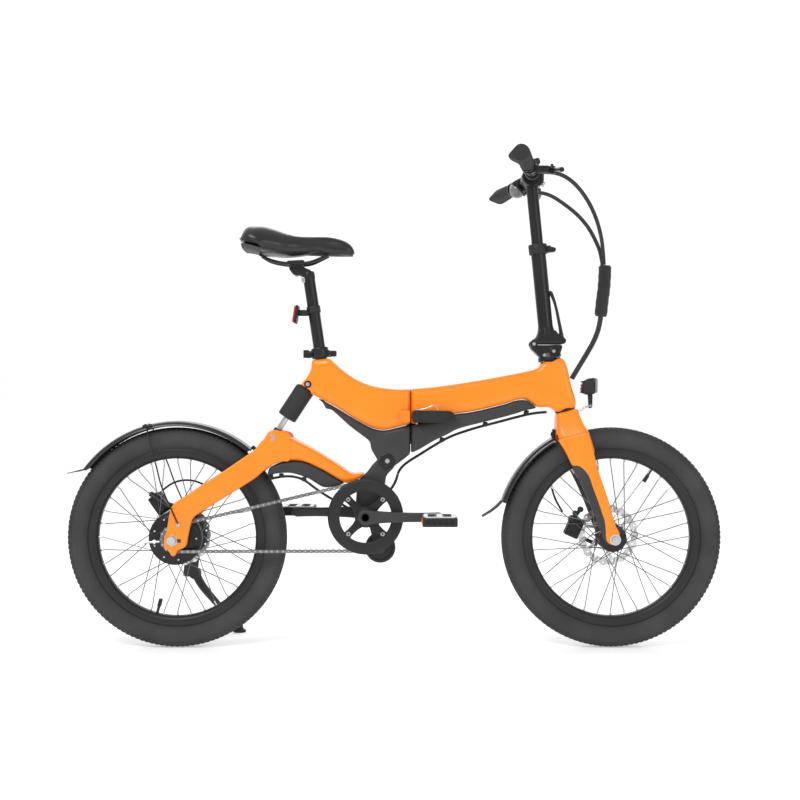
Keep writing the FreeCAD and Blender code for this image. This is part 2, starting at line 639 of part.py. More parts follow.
def swingarm():
    """One outline does for the solid front part and for the two blades beside the wheel."""
    outline = [((-302, 488), (-278, 501), (-263, 498), (-220, 475), (-139, 428), (-100, 402), (-66, 402)),
               ((-66, 402), (-72, 382)), ((-72, 382), (-100, 378), (-137, 366), (-172, 369), (-210, 394),
               (-238, 402), (-300, 396)), ((-300, 396), (-399, 340), (-452, 307), (-468, 293), (-476, 250)),
               ((-476, 250), (-482, 228), (-503, 220), (-519, 222), (-527, 240), (-526, 263), (-519, 313),
               (-509, 330)), ((-509, 330), (-474, 353), (-399, 402), (-340, 442), (-312, 466), (-302, 488))]
    solid = plate("swingarm_block", outline, 64)
    wheel_room = pin("wheel_room", size("guard_radius") + 10, 60, REAR_AXLE[0], REAR_AXLE[2])
    front = cut("swingarm_front", solid, wheel_room)
    blades = []
    for side in (-1, 1):
        blade = plate("blade_%d" % side, outline, 13, 0)
        blade.Placement = Placement(Vector(-250, side * 40, 0), Rotation(Z, -side * 7.2)) * Placement(
            Vector(250, 0, 0), Rotation())
        front_end = cylinder("blade_front_%d" % side, 400, 200, (168, -100, 430))
        blades.append(cut("blade_cut_%d" % side, blade, front_end))
    lug = fuse("kickstand_lug", cylinder("lug_hub", 13, 7, (-473, 69.8, 158)),
               box("lug_arm", (26, 7, 76), (-492, 69.8, 160), 6))
    whole = fuse("swingarm_shape", front, *blades, lug)
    slot_width = size("eye_width") + 1.6
    eye_slot = box("low_eye_slot", (90, slot_width, 90), (EYE_LOW[0] - 45, -slot_width / 2, EYE_LOW[1] - 17))
    boot_room = cylinder("boot_room", size("shock_radius") + 6, 130, up_shock(9), SHOCK_AXIS)
    bolt = pin("low_bolt_hole", size("shock_bolt_radius"), 60, *EYE_LOW)
    axle_hole = pin("axle_hole", size("axle_radius") + 1.05, 100, REAR_AXLE[0], REAR_AXLE[2])
    bb_room = plate("bb_room", BB_ARM, 90)
    node("swingarm", cut("swingarm", whole, eye_slot, boot_room, bolt, axle_hole, bb_room))
    panel = [((-226, 430), (-200, 426), (-163, 408), (-133, 390), (-102, 379)),
             ((-102, 379), (-138, 369), (-166, 371), (-210, 394.5), (-226, 400)), ((-226, 400), (-226, 430))]
    panels = [plate("panel_%d" % side, panel, 3, side * 33.6) for side in (-1, 1)]
    node("swingarm_panels", group("swingarm_panels", *panels))


def bottom_bracket():
    """The arm from the swingarm up to its pivot, with the crank bearing and the roller below it."""
    block = plate("bb_arm", BB_ARM, 2 * size("bb_half") - 16)
    shell = pin("bb_shell", 21, size("bb_half"), *BB)
    roller_stay = plate("roller_stay", closed((-58, 290), (-36, 290), (-24, 222), (-40, 222)), 40)
    roller_room = plate("roller_room", closed((-80, 264), (20, 268), (20, 180), (-80, 180)), 27)
    rooms = [pin("bb_bore", 10.05, 60, *BB), roller_room]
    rooms.append(pin("pivot_bore", size("pivot_radius") + 0.05, 60, *PIVOT))
    rooms.append(plate("pivot_side", closed((-60, 405), (20, 405), (20, 455), (-60, 455)), 200, 127.2))
    rooms.append(pin("roller_axle_hole", 4.05, 40, *ROLLER))
    node("bottom_bracket", cut("bottom_bracket", fuse("bb_shape", block, shell, roller_stay), *rooms))
    wheel = closed((4.1, -11), (14, -11), (14, -8), (29, -8), (29, -11), (35, -9), (35, 9), (29, 11), (29, 8),
                   (14, 8), (14, 11), (4.1, 11))
    node("transport_roller", turned("transport_roller", wheel, (ROLLER[0], 0, ROLLER[1])))


def swingarm_axles():
    radius = size("axle_radius") + 1
    axles = [pin("roller_axle", 4, 21, *ROLLER), pin("lower_shock_bolt", "shock_bolt_radius", 34, *EYE_LOW),
             pin("motor_axle", radius, 88, REAR_AXLE[0], REAR_AXLE[2])]
    for low in (-86, 80):
        axles.append(ring("axle_nut_%d" % low, radius, 11, 6, (REAR_AXLE[0], low, REAR_AXLE[2])))
    node("swingarm_axles", group("swingarm_axles", *axles))


def shock():
    """A spring and damper unit: the body hangs from the upper eye, and the rod ends in the lower eye."""
    bore = size("shock_bolt_radius")
    half = size("eye_width") / 2

    def eye(name, x, z, gap):
        return ring(name, bore + gap, size("eye_radius"), 2 * half, (x, -half, z))

    slide, outer = size("shock_rod_radius") + 0.1, size("shock_radius")
    profile = closed((slide, 0), (outer, 2), (outer, 84), (9, 92), (9, 97), (0, 97), (0, 60), (slide, 60))
    tube = turned("shock_tube", profile, up_shock(38), SHOCK_AXIS)
    room = cylinder("eye_bore", bore + 0.05, 60, (EYE_TOP[0], -30, EYE_TOP[1]))
    body = fuse("shock_body_shape", tube, eye("top_eye", *EYE_TOP, 0.05))
    node("shock_body", cut("shock_body", body, room))
    rod = cylinder("rod", "shock_rod_radius", 60, up_shock(9), SHOCK_AXIS)
    low = eye("low_eye", *EYE_LOW, 0.5)
    node("shock_shaft", cut("shock_shaft", fuse("shock_shaft_shape", rod, low),
                            cylinder("low_eye_bore", bore + 0.5, 60, (EYE_LOW[0], -30, EYE_LOW[1]))))


def mudguard_arc(name, centre, radius, start, end):
    """A curved strip over a tyre, from start to end in degrees above the forward direction."""
    half, thick = size("guard_width") / 2, size("guard_thickness")
    profile = [((radius - 9, -half), (radius - 1, -half * 0.6), (radius + 1, 0), (radius - 1, half * 0.6),
                (radius - 9, half)), ((radius - 9, half), (radius - 9 - thick, half - 1)),
               ((radius - 9 - thick, half - 1), (radius - 1 - thick, half * 0.55), (radius + 1 - thick, 0),
                (radius - 1 - thick, -half * 0.55), (radius - 9 - thick, -half + 1)),
               ((radius - 9 - thick, -half + 1), (radius - 9, -half))]
    return turned(name, profile, (centre[0], 0, centre[1]), Y, end - start, -end)


def mudguards():
    rear = mudguard_arc("rear_guard_arc", (REAR_AXLE[0], REAR_AXLE[2]), size("guard_radius"), 50, 143)
    flap = box("rear_flap", (46, size("guard_width") - 8, 2), (-752, -size("guard_width") / 2 + 4, 402), -12)
    bracket = box("rear_guard_bracket", (7, 20, 7), (-320, -10, 453), 40)
    ends = [((-565, side * 30, 508), (-500 + dx, side * 58, 292)) for side in (-1, 1) for dx in (-4, 6)]
    stays = rods("rear_stays", ends, 1.6)
    node("rear_mudguard", group("rear_mudguard", fuse("rear_guard", rear, flap, bracket), stays))
    front = mudguard_arc("front_guard_arc", (FRONT_AXLE[0], FRONT_AXLE[2]), size("guard_radius"), 121, 162)
    tail = box("front_flap", (30, size("guard_width") - 12, 2), (229, -size("guard_width") / 2 + 6, 300), -58)
    hook = plate("front_guard_bracket", closed((356, 482), (371, 477), (371.4, 502), (363, 502)), 16)
    node("front_mudguard", fuse("front_mudguard", front, tail, hook))


def callipers():
    """A block over each brake disc's edge, slotted for the disc and cut clear of the hub."""
    for label, axle, corner, lengths in (("front_calliper", FRONT_AXLE, (402, 32, 240), (40, 24, 60)),
                                         ("rear_calliper", REAR_AXLE, (-568, 33, 300), (40, 27, 50))):
        slot = cylinder(label + "_slot", size("rotor_radius") + 3, size("rotor_thickness") + 3,
                        (axle[0], size("rotor_y") - 1.5, axle[2]))
        hub_room = cylinder(label + "_room", size("rotor_radius") - 6, 60, (axle[0], 20, axle[2]))
        node(label, cut(label, box(label + "_block", lengths, corner), slot, hub_room))


def kickstand():
    leg = doc.addObject("Part::Feature", "kickstand_leg")
    leg.Shape = pipe([(-474, 90, 158), (-453, 98, 118), (-400, 158, 32), (-384, 176, 6)], 7)
    shoe = cylinder("kickstand_shoe", 11, 8, (-380, 178, 0), Z)
    hub = cylinder("kickstand_hub", 12, 14, (-472.1, 80.5, 158), Vector(-0.261, 1, 0))
    node("kickstand", fuse("kickstand", leg, shoe, hub))


# Fork, steering and cockpit

def fork():
    outline = [((375, 537), (372, 499), (376, 478), (392, 451), (409, 418), (431, 371), (453, 321),
                (471, 273), (482, 247)),
               ((482, 247), (490, 239), (502, 237), (512, 242), (516, 256), (515, 265)),
               ((515, 265), (503, 293), (490, 340), (469, 403), (453, 467), (433, 515), (419, 549)),
               ((419, 549), (375, 537))]
    tyre_room = pin("tyre_room", size("guard_radius") + 1, 60, FRONT_AXLE[0], FRONT_AXLE[2])
    crown = cut("fork_crown", plate("fork_block", outline, 88), tyre_room)
    blades = []
    for side in (-1, 1):
        blade = plate("fork_blade_%d" % side, outline, 13, 0)
        blade.Placement = Placement(Vector(385, side * 39, 0), Rotation(Z, side * 8.5)) * Placement(
            Vector(-385, 0, 0), Rotation())
        blades.append(blade)
    steerer = cylinder("steerer", "steerer_radius", size("head_length") + 37, up_steerer(-8), STEER_AXIS)
    race = closed((14.3, -10), (24, -10), (22, -1), (14.3, -1))
    seat = turned("crown_seat", race, up_steerer(0), STEER_AXIS)
    hole = pin("front_axle_hole", size("axle_radius") + 0.05, 100, FRONT_AXLE[0], FRONT_AXLE[2])
    node("fork", cut("fork", fuse("fork_shape", crown, *blades, steerer, seat), hole))
    rod = pin("front_axle_rod", "axle_radius", 70, FRONT_AXLE[0], FRONT_AXLE[2])
    nuts = [ring("front_nut_%d" % index, size("axle_radius"), 11, 6, (FRONT_AXLE[0], low, FRONT_AXLE[2]))
            for index, low in enumerate((-70.5, 64.5))]
    node("front_axle", group("front_axle", rod, *nuts))


def headlight():
    stalk = box("light_stalk", (10, 16, 40), (448, -8, 548))
    foot_arm = box("light_arm", (32, 16, 6), (423, -8, 546), -8)
    lamp = plate("lamp_body", [((432, 588), (436, 606), (444, 618), (462, 620)), ((462, 620), (462, 584)),
                 ((462, 584), (440, 582), (432, 588))], 40)
    lens = plate("headlight_lens", closed((462.2, 585), (467, 586), (467, 619), (462.2, 620)), 38)
    node("headlight", group("headlight", fuse("headlight_body", stalk, foot_arm, lamp), lens))


def steerer_clamp():
    """The clamp on the steerer, which carries the pin that the handlepost folds about."""
    top = size("head_length") + 1.5
    clamp = cylinder("clamp_block", 19, 34, up_steerer(top), STEER_AXIS)
    ear = plate("clamp_ear", closed((313, 694.5), (345, 660), (352, 662), (350, 695.5), (330, 695.5)), 38)
    cheeks = [cylinder("clamp_cheek_%d" % low, 8.5, 9, (STEM_PIN[0], low, STEM_PIN[1])) for low in (-19, 10)]
    clamp_hole = cylinder("clamp_hole", "steerer_radius", 60, up_steerer(top - 5), STEER_AXIS)
    knuckle_room = pin("stem_knuckle_room", 8.4, 9.9, *STEM_PIN)
    level = box("seat_level", (140, 80, 60), (331, -40, 695.6))
    whole = fuse("steerer_clamp_shape", cut("clamp_flat", fuse("clamp_blocks", clamp, ear), level), *cheeks)
    block = cut("clamp_body", whole, clamp_hole, knuckle_room, pin("clamp_pin_hole", 4, 40, *STEM_PIN))
    node("steerer_clamp", group("steerer_clamp", block, pin("stem_hinge_pin", 4, 19, *STEM_PIN)))


def handlepost():
    outer = cylinder("outer_tube", "handlepost_radius", 214, up_handlepost(-11), HANDLE_AXIS)
    foot = closed((331, 697), (381, 697), (382, 716), (372, 728), (334, 728), (331, 712))
    base = plate("post_base", foot, 38)
    floor = box("post_floor", (140, 80, 40), (300, -40, 656.4))
    knuckle = fuse("stem_knuckle", pin("stem_knuckle_round", 7.8, 9.3, *STEM_PIN),
                   box("stem_knuckle_link", (14, 18.6, 7.8), (STEM_PIN[0], -9.3, STEM_PIN[1])))
    collar = cylinder("top_collar", 21, 19, up_handlepost(203), HANDLE_AXIS)
    bore = cylinder("post_slide", size("extension_radius") + 0.05, 260, up_handlepost(16), HANDLE_AXIS)
    lug_outline = closed((376, 699), (395, 699), (395, 713), (376, 716))
    gap = plate("latch_lug_gap", lug_outline, 17)
    lugs = cut("latch_lugs", plate("latch_lug_block", lug_outline, 24), gap)
    flat = cut("post_flat", fuse("post_blocks", outer, base, collar), floor)
    body = fuse("handlepost_shape", flat, knuckle)
    post = cut("handlepost_bored", body, bore, pin("post_pin_hole", 4.05, 40, *STEM_PIN))
    latch_front = plate("latch_room", closed((382.5, 690), (400, 690), (400, 720), (382.5, 720)), 17)
    node("handlepost", cut("handlepost", fuse("handlepost_lugs", post, lugs), latch_front))
    lever = [((384, 706), (388, 714), (382, 743), (373, 792), (362, 818)), ((362, 818), (366, 822)),
             ((366, 822), (380, 797), (388, 743), (396, 710)), ((396, 710), (390, 700)),
             ((390, 700), (384, 706))]
    blade = plate("post_lever", lever, 16)
    node("handlepost_latch", fuse("handlepost_latch", blade, pin("latch_hub_round", 6.2, 8, 390, 706)))
    inner = cylinder("inner_tube", "extension_radius", 236, up_handlepost(120), HANDLE_AXIS)
    clamp_body = pin("bar_clamp", 22, 24, size("bar_clamp_x"), size("bar_z"))
    bar_bore = pin("bar_bore", size("bar_radius") + 0.02, 60, size("bar_clamp_x"), size("bar_z"))
    extension = fuse("extension_shape", inner, clamp_body)
    node("handlepost_extension", cut("handlepost_extension", extension, bar_bore))


def bar_point(y):
    """The handlebar's centre at a distance y from the middle: it sweeps back evenly outside the clamp."""
    sweep = max(0, abs(y) - 50) / (size("bar_half") - 50)
    return size("bar_clamp_x") - size("bar_sweep") * sweep, y, size("bar_z") + 2 * sweep


def brake_lever(name, side, pivot):
    steps = ((0, 0, 0), (6, 26, -6), (4, 70, -14), (8, 104, -20))
    blade = doc.addObject("Part::Feature", name + "_blade")
    blade.Shape = pipe([(pivot.x + dx, pivot.y + side * dy, pivot.z + dz) for dx, dy, dz in steps], 5)
    node(name, fuse(name, blade, cylinder(name + "_hub", 7, 14, (pivot.x, pivot.y, pivot.z - 7), Z)))


def cockpit():
    half = size("bar_half")
    node("handlebar", pipes("handlebar", [[bar_point(y) for y in (-half + 5, -50, 50, half - 5)]],
                            size("bar_radius"), 22))
    grips, perches = [], []
    for side in (-1, 1):
        inner, outer = Vector(*bar_point(side * 165)), Vector(*bar_point(side * half))
        run = outer - inner
        grip = cylinder("grip_%d" % side, "grip_radius", run.Length, tuple(inner), run)
        hole = cylinder("grip_hole_%d" % side, "bar_radius", run.Length - 3, tuple(inner), run)
        grips.append(cut("grip_shell_%d" % side, grip, hole))
        at = Vector(*bar_point(side * 136))
        clamp = cylinder("perch_ring_%d" % side, 17, 16, tuple(at), run)
        low_y = at.y - (0 if side > 0 else 18)
        block = box("perch_block_%d" % side, (34, 18, 18), (at.x + 8, low_y, at.z - 16))
        bar_hole = cylinder("perch_hole_%d" % side, "bar_radius", 60, tuple(at - run.normalize() * 20), run)
        perches.append(cut("perch_%d" % side, fuse("perch_shape_%d" % side, clamp, block), bar_hole))
        name = "brake_lever_right" if side < 0 else "brake_lever_left"
        brake_lever(name, side, at + Vector(50, side * 6, -7))
    node("grips", group("grips", *grips))
    x, _, z = bar_point(66)
    body = box("display_body", (34, 52, 14), (296, -92, 1097), -20)
    mount = cylinder("display_mount", 18, 12, (x, -72, z))
    bore = cylinder("display_bore", 15.2, 60, (x, -100, z))
    display = cut("display", fuse("display_shape", body, mount), bore)
    x, _, z = bar_point(90)
    profile = [((0, 0), (18, 0)), ((18, 0), (16, 10), (9, 17), (0, 19)), ((0, 19), (0, 0))]
    dome = turned("bell_dome", profile, (x - 14, 90, z - 14), Vector(-1, 0, -1))
    mount = cylinder("bell_mount", 16, 12, (x, 84, z))
    bell = cut("bell", fuse("bell_shape", mount, dome), cylinder("bell_bore", 14.5, 60, (x, 60, z)))
    node("bar_controls", group("bar_controls", *perches, display, bell))


def hoses():
    """The hose and cable lines, from the levers through the sleeve and the frame to the swingarm."""
    right = [(330, -131, 1071), (352, -126, 1072), (380, -112, 1066), (410, -92, 1048), (440, -60, 1018),
             (462, -32, 984), (476, -14, 946), (482, -4, 912), (484, -3, 881)]
    left = [(330, 131, 1071), (350, 126, 1070), (376, 110, 1060), (404, 88, 1036), (432, 58, 1006),
            (454, 32, 972), (468, 14, 938), (478, 6, 910), (482, 5, 881)]
    sleeve = [(487, 0, 879.5), (486, 0, 836), (480, 0, 796), (477, 0, 762)]
    lower = [(477, 0, 761.5), (474, 0, 738), (462, 0, 706), (445, 0, 676), (426, 0, 645), (410, 0, 618)]
    beam = [(352, 0, 541), (326, 0, 540), (280, 0, 529), (240, 0, 518), (200, 0, 508), (170, 0, 499),
            (140, 0, 489), (114, 0, 477), (84, 0, 459), (54, 0, 440), (34, 0, 428), (14, 0, 412), (8, 0, 398)]
    pivot_run = [(8, 0, 397), (4, 0, 380), (-10, 0, 360), (-24, 0, 338)]
    arm_run = [(-288, -26, 387), (-266, -24, 393), (-236, -22, 395), (-208, -22, 388), (-180, -22, 366),
               (-150, -22, 346), (-122, -22, 332), (-102, -22, 319)]
    node("bar_hoses", pipes("bar_hoses", [right, left], size("hose_radius")))
    node("hose_sleeve", pipes("hose_sleeve", [sleeve], size("sleeve_radius")))
    node("lower_hose", pipes("lower_hose", [lower], size("lower_hose_radius")))
    node("front_cable", pipes("front_cable", [beam], size("cable_radius")))
    node("rear_cable", pipes("rear_cable", [pivot_run, arm_run], size("cable_radius")))


def seat():
    node("seatpost", cylinder("post_tube", "post_radius", 296, up_post(-100), POST_AXIS))
    cradle = box("seat_cradle", (46, 34, 17), (-248, -17, 864))
    neck = cylinder("clamp_neck", 18, 34, up_post(178), POST_AXIS)
    neck_bore = cylinder("clamp_bore", "post_radius", 60, up_post(170), POST_AXIS)
    clamp = cut("saddle_clamp_cut", fuse("saddle_clamp_shape", neck, cradle), neck_bore)
    steps = ((-310, 24, 900), (-285, 24, 890), (-250, 22, 881), (-190, 22, 884), (-150, 14, 902))
    rails = pipes("saddle_rails", [[(x, side * y, z) for x, y, z in steps] for side in (-1, 1)], 3.5)
    node("saddle_mount", group("saddle_mount", clamp, rails))
    side_view = [((-355, 938), (-340, 963), (-315, 969), (-276, 961), (-240, 948), (-200, 943), (-150, 943),
                 (-118, 939), (-96, 926), (-89, 908)), ((-89, 908), (-92, 902)), ((-92, 902), (-170, 908),
                 (-248, 903), (-314, 912)), ((-314, 912), (-334, 918), (-355, 938))]
    plan = [((-354, 0), (-350, 48), (-330, 74), (-300, 76), (-262, 58), (-220, 34), (-160, 22), (-110, 20),
             (-90, 12), (-88, 0)), ((-88, 0), (-90, -12), (-110, -20), (-160, -22), (-220, -34), (-262, -58),
             (-300, -76), (-330, -74), (-350, -48), (-354, 0))]
    node("saddle", common("saddle", plate("saddle_side", side_view, 170), slab("saddle_plan", plan, 90, 890)))
    band = cylinder("reflector_band", 17, 20, up_post(104), POST_AXIS)
    band_bore = cylinder("reflector_bore", size("post_radius"), 60, up_post(90), POST_AXIS)
    arm = box("reflector_arm", (30, 12, 14), (-222, -6, 763))
    face = box("reflector_plate", (10, 52, 42), (-234, -26, 745), -6)
    node("rear_reflector", cut("rear_reflector", fuse("reflector_shape", band, arm, face), band_bore))


def write_parts():
    """Recomputes, refuses a failed or invalid object, and writes one file for each sub-part."""
    doc.recompute()
    failed = [obj.Name for obj in doc.Objects if {"Invalid", "Error"} & set(obj.State)]
    broken = [obj.Label for obj in nodes if obj.Shape.isNull() or not obj.Shape.isValid()]
    empty = [obj.Label for obj in nodes if obj.Label not in broken and obj.Shape.Volume < 1]
    if failed or broken or empty:
        raise RuntimeError("failed %s, broken %s, empty %s" % (failed, broken, empty))
    os.makedirs("parts", exist_ok=True)
    for obj in nodes:
        obj.Shape.exportStep("parts/%s.step" % obj.Label)
    print("%d sub-parts" % len(nodes))


rear_frame()
seat_clamp()
front_frame()
latch()
swingarm()
bottom_bracket()
swingarm_axles()
shock()
mudguards()
callipers()
kickstand()
fork()
headlight()
steerer_clamp()
handlepost()
cockpit()
hoses()
seat()
front_wheel()
rear_wheel()
chain_drive()
cranks()
pedal("pedal_right", -1, BB[0] + size("crank_length"))
pedal("pedal_left", 1, BB[0] - size("crank_length"))
write_parts()
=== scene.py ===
"""The looks of a folding bicycle: X points forwards, Y to the rider's left and Z up.

Outlines and places are written in millimetres, and MM turns them into metres.
"""
import json
import math

import bmesh
import bpy
import numpy as np
from mathutils import Matrix, Vector
from mathutils.geometry import delaunay_2d_cdt


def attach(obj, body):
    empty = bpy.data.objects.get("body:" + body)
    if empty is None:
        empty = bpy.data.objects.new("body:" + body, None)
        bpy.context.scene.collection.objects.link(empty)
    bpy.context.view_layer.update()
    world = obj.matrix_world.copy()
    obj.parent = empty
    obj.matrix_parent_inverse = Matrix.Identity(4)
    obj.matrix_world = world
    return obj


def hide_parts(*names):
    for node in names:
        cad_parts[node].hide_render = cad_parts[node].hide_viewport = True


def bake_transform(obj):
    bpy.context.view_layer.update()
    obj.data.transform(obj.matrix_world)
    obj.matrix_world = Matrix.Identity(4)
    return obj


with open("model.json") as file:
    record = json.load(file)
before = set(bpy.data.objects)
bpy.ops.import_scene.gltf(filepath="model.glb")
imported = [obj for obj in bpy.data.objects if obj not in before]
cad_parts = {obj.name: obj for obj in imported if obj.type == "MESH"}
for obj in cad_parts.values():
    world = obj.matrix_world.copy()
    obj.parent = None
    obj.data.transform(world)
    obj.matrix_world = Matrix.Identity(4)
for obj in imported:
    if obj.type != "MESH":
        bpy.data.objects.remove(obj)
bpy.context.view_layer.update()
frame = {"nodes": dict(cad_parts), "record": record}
NODES = frame["nodes"]
MM = 0.001
FRONT_HUB, REAR_HUB = (500, 0, 253), (-500, 0, 253)
CRANK_AXIS = (-64.6, 0, 304.5)
EYE_TOP, EYE_LOW = Vector((-198, 0, 605)) * MM, Vector((-277.5, 0, 484)) * MM
HEAD_LEAN, SEAT_LEAN, POST_LEAN = math.radians(16.5), math.radians(8.5), math.radians(5.6)
HEAD_AXIS = Vector((-math.sin(HEAD_LEAN), 0, math.cos(HEAD_LEAN)))
SEAT_AXIS = Vector((-math.sin(SEAT_LEAN), 0, math.cos(SEAT_LEAN)))
POST_AXIS = Vector((-math.sin(POST_LEAN), 0, math.cos(POST_LEAN)))
HEAD_FOOT = Vector((395, 0, 545.2))
CHAIN_PITCH, CHAIN_Y = 12.7, -46
RING_TEETH, SPROCKET_TEETH = 39, 14
DISC_Y = 40.5
EYE_FROM, EYE_X, EYE_Z = 2850, 13.5, 569


# Camera, floor and light

def camera():
    """Level and square to the bicycle's right side, from where the whole of it fills the picture."""
    seen, distance = 1.8476, EYE_FROM * MM
    data = bpy.data.cameras.new("camera")
    data.sensor_width = 36
    data.lens = data.sensor_width * distance / seen
    eye = bpy.data.objects.new("camera", data)
    eye.location = (EYE_X * MM, -distance, EYE_Z * MM)
    eye.rotation_euler = (math.radians(90), 0, 0)
    bpy.context.scene.collection.objects.link(eye)
    bpy.context.scene.camera = eye


def colours_as_painted():
    """Plain display colours, so that the paint keeps its full strength."""
    bpy.context.scene.view_settings.view_transform = "Standard"


def floor():
    """A pale sweep that curves up behind the bicycle."""
    side, back, bend = 14, 9, 2.5
    mesh = bpy.data.meshes.new("floor")
    steps = [(-back, 0)] + [(back - bend + bend * math.sin(a), bend - bend * math.cos(a))
                            for a in (math.radians(9 * i) for i in range(11))] + [(back, 9)]
    points = [(x, y, z) for y, z in steps for x in (-side, side)]
    mesh.from_pydata(points, [], [(2 * i, 2 * i + 1, 2 * i + 3, 2 * i + 2) for i in range(len(steps) - 1)])
    mesh.polygons.foreach_set("use_smooth", [True] * len(mesh.polygons))
    ground = bpy.data.objects.new("floor", mesh)
    bpy.context.scene.collection.objects.link(ground)
    surface = bpy.data.materials.new("studio_floor")
    surface.use_nodes = True
    shader = surface.node_tree.nodes["Principled BSDF"]
    shader.inputs["Base Color"].default_value = (0.92, 0.92, 0.92, 1)
    shader.inputs["Roughness"].default_value = 0.6
    shader.inputs["Emission Color"].default_value = (1, 1, 1, 1)
    shader.inputs["Emission Strength"].default_value = 0.3
    mesh.materials.append(surface)


def lamp(name, place, target, width, power):
    """A soft lamp that looks at target."""
    data = bpy.data.lights.new(name, "AREA")
    data.shape, data.size, data.size_y, data.energy = "RECTANGLE", width, width * 0.6, power
    light = bpy.data.objects.new(name, data)
    light.location = place
    light.rotation_euler = (Vector(target) - Vector(place)).to_track_quat("-Z", "Y").to_euler()
    bpy.context.scene.collection.objects.link(light)


def lights():
    """An even white surround, with a key, a fill and a rim light."""
    world = bpy.data.worlds.new("studio")
    world.use_nodes = True
    world.node_tree.nodes["Background"].inputs["Color"].default_value = (1, 1, 1, 1)
    world.node_tree.nodes["Background"].inputs["Strength"].default_value = 0.62
    bpy.context.scene.world = world
    lamp("key", (-1.6, -2.6, 3.4), (0, 0, 0.5), 2.2, 82)
    lamp("fill", (2.6, -2.8, 1.6), (0.1, 0, 0.5), 2.0, 20)
    lamp("rim_light", (0.4, 2.8, 2.6), (0, 0, 0.6), 2.6, 22)


# Materials

def shade(name, colour, rough=0.5, metal=0.0, mottle=0.12, grain=400.0, bump=0.05, coat=0.0, scratch=0.0,
          sheen=0.0, transmission=0.0):
    """A material whose colour and roughness vary with two scales of noise, over a fine grain."""
    material = bpy.data.materials.get(name)
    if material:
        return material
    material = bpy.data.materials.new(name)
    material.use_nodes = True
    tree = material.node_tree
    shader = tree.nodes["Principled BSDF"]
    shader.inputs["Metallic"].default_value = metal
    shader.inputs["Specular IOR Level"].default_value = 0.38
    shader.inputs["Coat Weight"].default_value = coat
    shader.inputs["Coat Roughness"].default_value = 0.12
    shader.inputs["Sheen Weight"].default_value = sheen
    shader.inputs["Transmission Weight"].default_value = transmission
    place = tree.nodes.new("ShaderNodeTexCoord")
    cloud = tree.nodes.new("ShaderNodeTexNoise")
    cloud.inputs["Scale"].default_value = 14
    cloud.inputs["Detail"].default_value = 6
    tree.links.new(place.outputs["Object"], cloud.inputs["Vector"])
    ramp = tree.nodes.new("ShaderNodeValToRGB")
    ramp.color_ramp.elements[0].position, ramp.color_ramp.elements[1].position = 0.3, 0.72
    ramp.color_ramp.elements[0].color = (*[c * (1 - mottle) for c in colour], 1)
    ramp.color_ramp.elements[1].color = (*[min(1, c * (1 + mottle)) for c in colour], 1)
    tree.links.new(cloud.outputs["Fac"], ramp.inputs["Fac"])
    tree.links.new(ramp.outputs["Color"], shader.inputs["Base Color"])
    fine = tree.nodes.new("ShaderNodeTexNoise")
    fine.inputs["Scale"].default_value = grain
    fine.inputs["Detail"].default_value = 3
    tree.links.new(place.outputs["Object"], fine.inputs["Vector"])
    spread = tree.nodes.new("ShaderNodeMapRange")
    spread.inputs["To Min"].default_value = max(0.02, rough - 0.08 - scratch)
    spread.inputs["To Max"].default_value = min(1, rough + 0.08 + scratch)
    tree.links.new(cloud.outputs["Fac"], spread.inputs["Value"])
    tree.links.new(spread.outputs["Result"], shader.inputs["Roughness"])
    relief = tree.nodes.new("ShaderNodeBump")
    relief.inputs["Strength"].default_value = bump
    relief.inputs["Distance"].default_value = 0.0006
    tree.links.new(fine.outputs["Fac"], relief.inputs["Height"])
    tree.links.new(relief.outputs["Normal"], shader.inputs["Normal"])
    return material


def orange_paint():
    return shade("orange_powder_coat", (0.98, 0.245, 0.002), rough=0.36, mottle=0.05, grain=1500, bump=0.06,
                 coat=0.35)


def dark_casting():
    return shade("dark_cast_metal", (0.035, 0.036, 0.038), rough=0.48, mottle=0.22, grain=900, bump=0.18)


def black_anodised():
    return shade("black_anodised", (0.014, 0.014, 0.015), rough=0.33, metal=0.25, mottle=0.2, grain=1200, bump=0.04)


def black_plastic():
    return shade("black_moulded_plastic", (0.013, 0.013, 0.014), rough=0.5, mottle=0.2, grain=2200, bump=0.25)


def rubber():
    return shade("grip_rubber", (0.026, 0.026, 0.027), rough=0.68, mottle=0.25, grain=1600, bump=0.35)


def tyre_rubber():
    return shade("tyre_compound", (0.042, 0.042, 0.043), rough=0.78, mottle=0.22, grain=900, bump=0.4)


def steel():
    return shade("brushed_steel", (0.55, 0.56, 0.58), rough=0.28, metal=1.0, mottle=0.1, grain=700, bump=0.05,
                 scratch=0.08)


def dark_steel():
    return shade("chain_steel", (0.22, 0.215, 0.205), rough=0.36, metal=1.0, mottle=0.3, grain=900, bump=0.08,
                 scratch=0.1)


def alloy():
    return shade("cast_alloy", (0.62, 0.63, 0.64), rough=0.34, metal=1.0, mottle=0.08, grain=900, bump=0.08)


def amber():
    return shade("amber_reflector", (0.9, 0.16, 0.01), rough=0.16, mottle=0.1, grain=600, bump=0.35, coat=0.4)


def red_reflector():
    return shade("red_reflector", (0.75, 0.02, 0.01), rough=0.15, mottle=0.12, grain=600, bump=0.35, coat=0.4)


def gloss_black():
    return shade("gloss_black_moulding", (0.014, 0.014, 0.015), rough=0.24, mottle=0.2, grain=900, bump=0.03,
                 coat=0.35)


def rim_enamel():
    return shade("black_rim_enamel", (0.014, 0.014, 0.015), rough=0.42, mottle=0.2, grain=1400, bump=0.05)


def spoke_wire():
    return shade("spoke_wire", (0.16, 0.16, 0.165), rough=0.3, metal=1.0, mottle=0.12, grain=900, bump=0.04)


def disc_steel():
    return shade("brake_disc_steel", (0.6, 0.6, 0.61), rough=0.22, metal=1.0, mottle=0.08, grain=500, bump=0.06,
                 scratch=0.06)


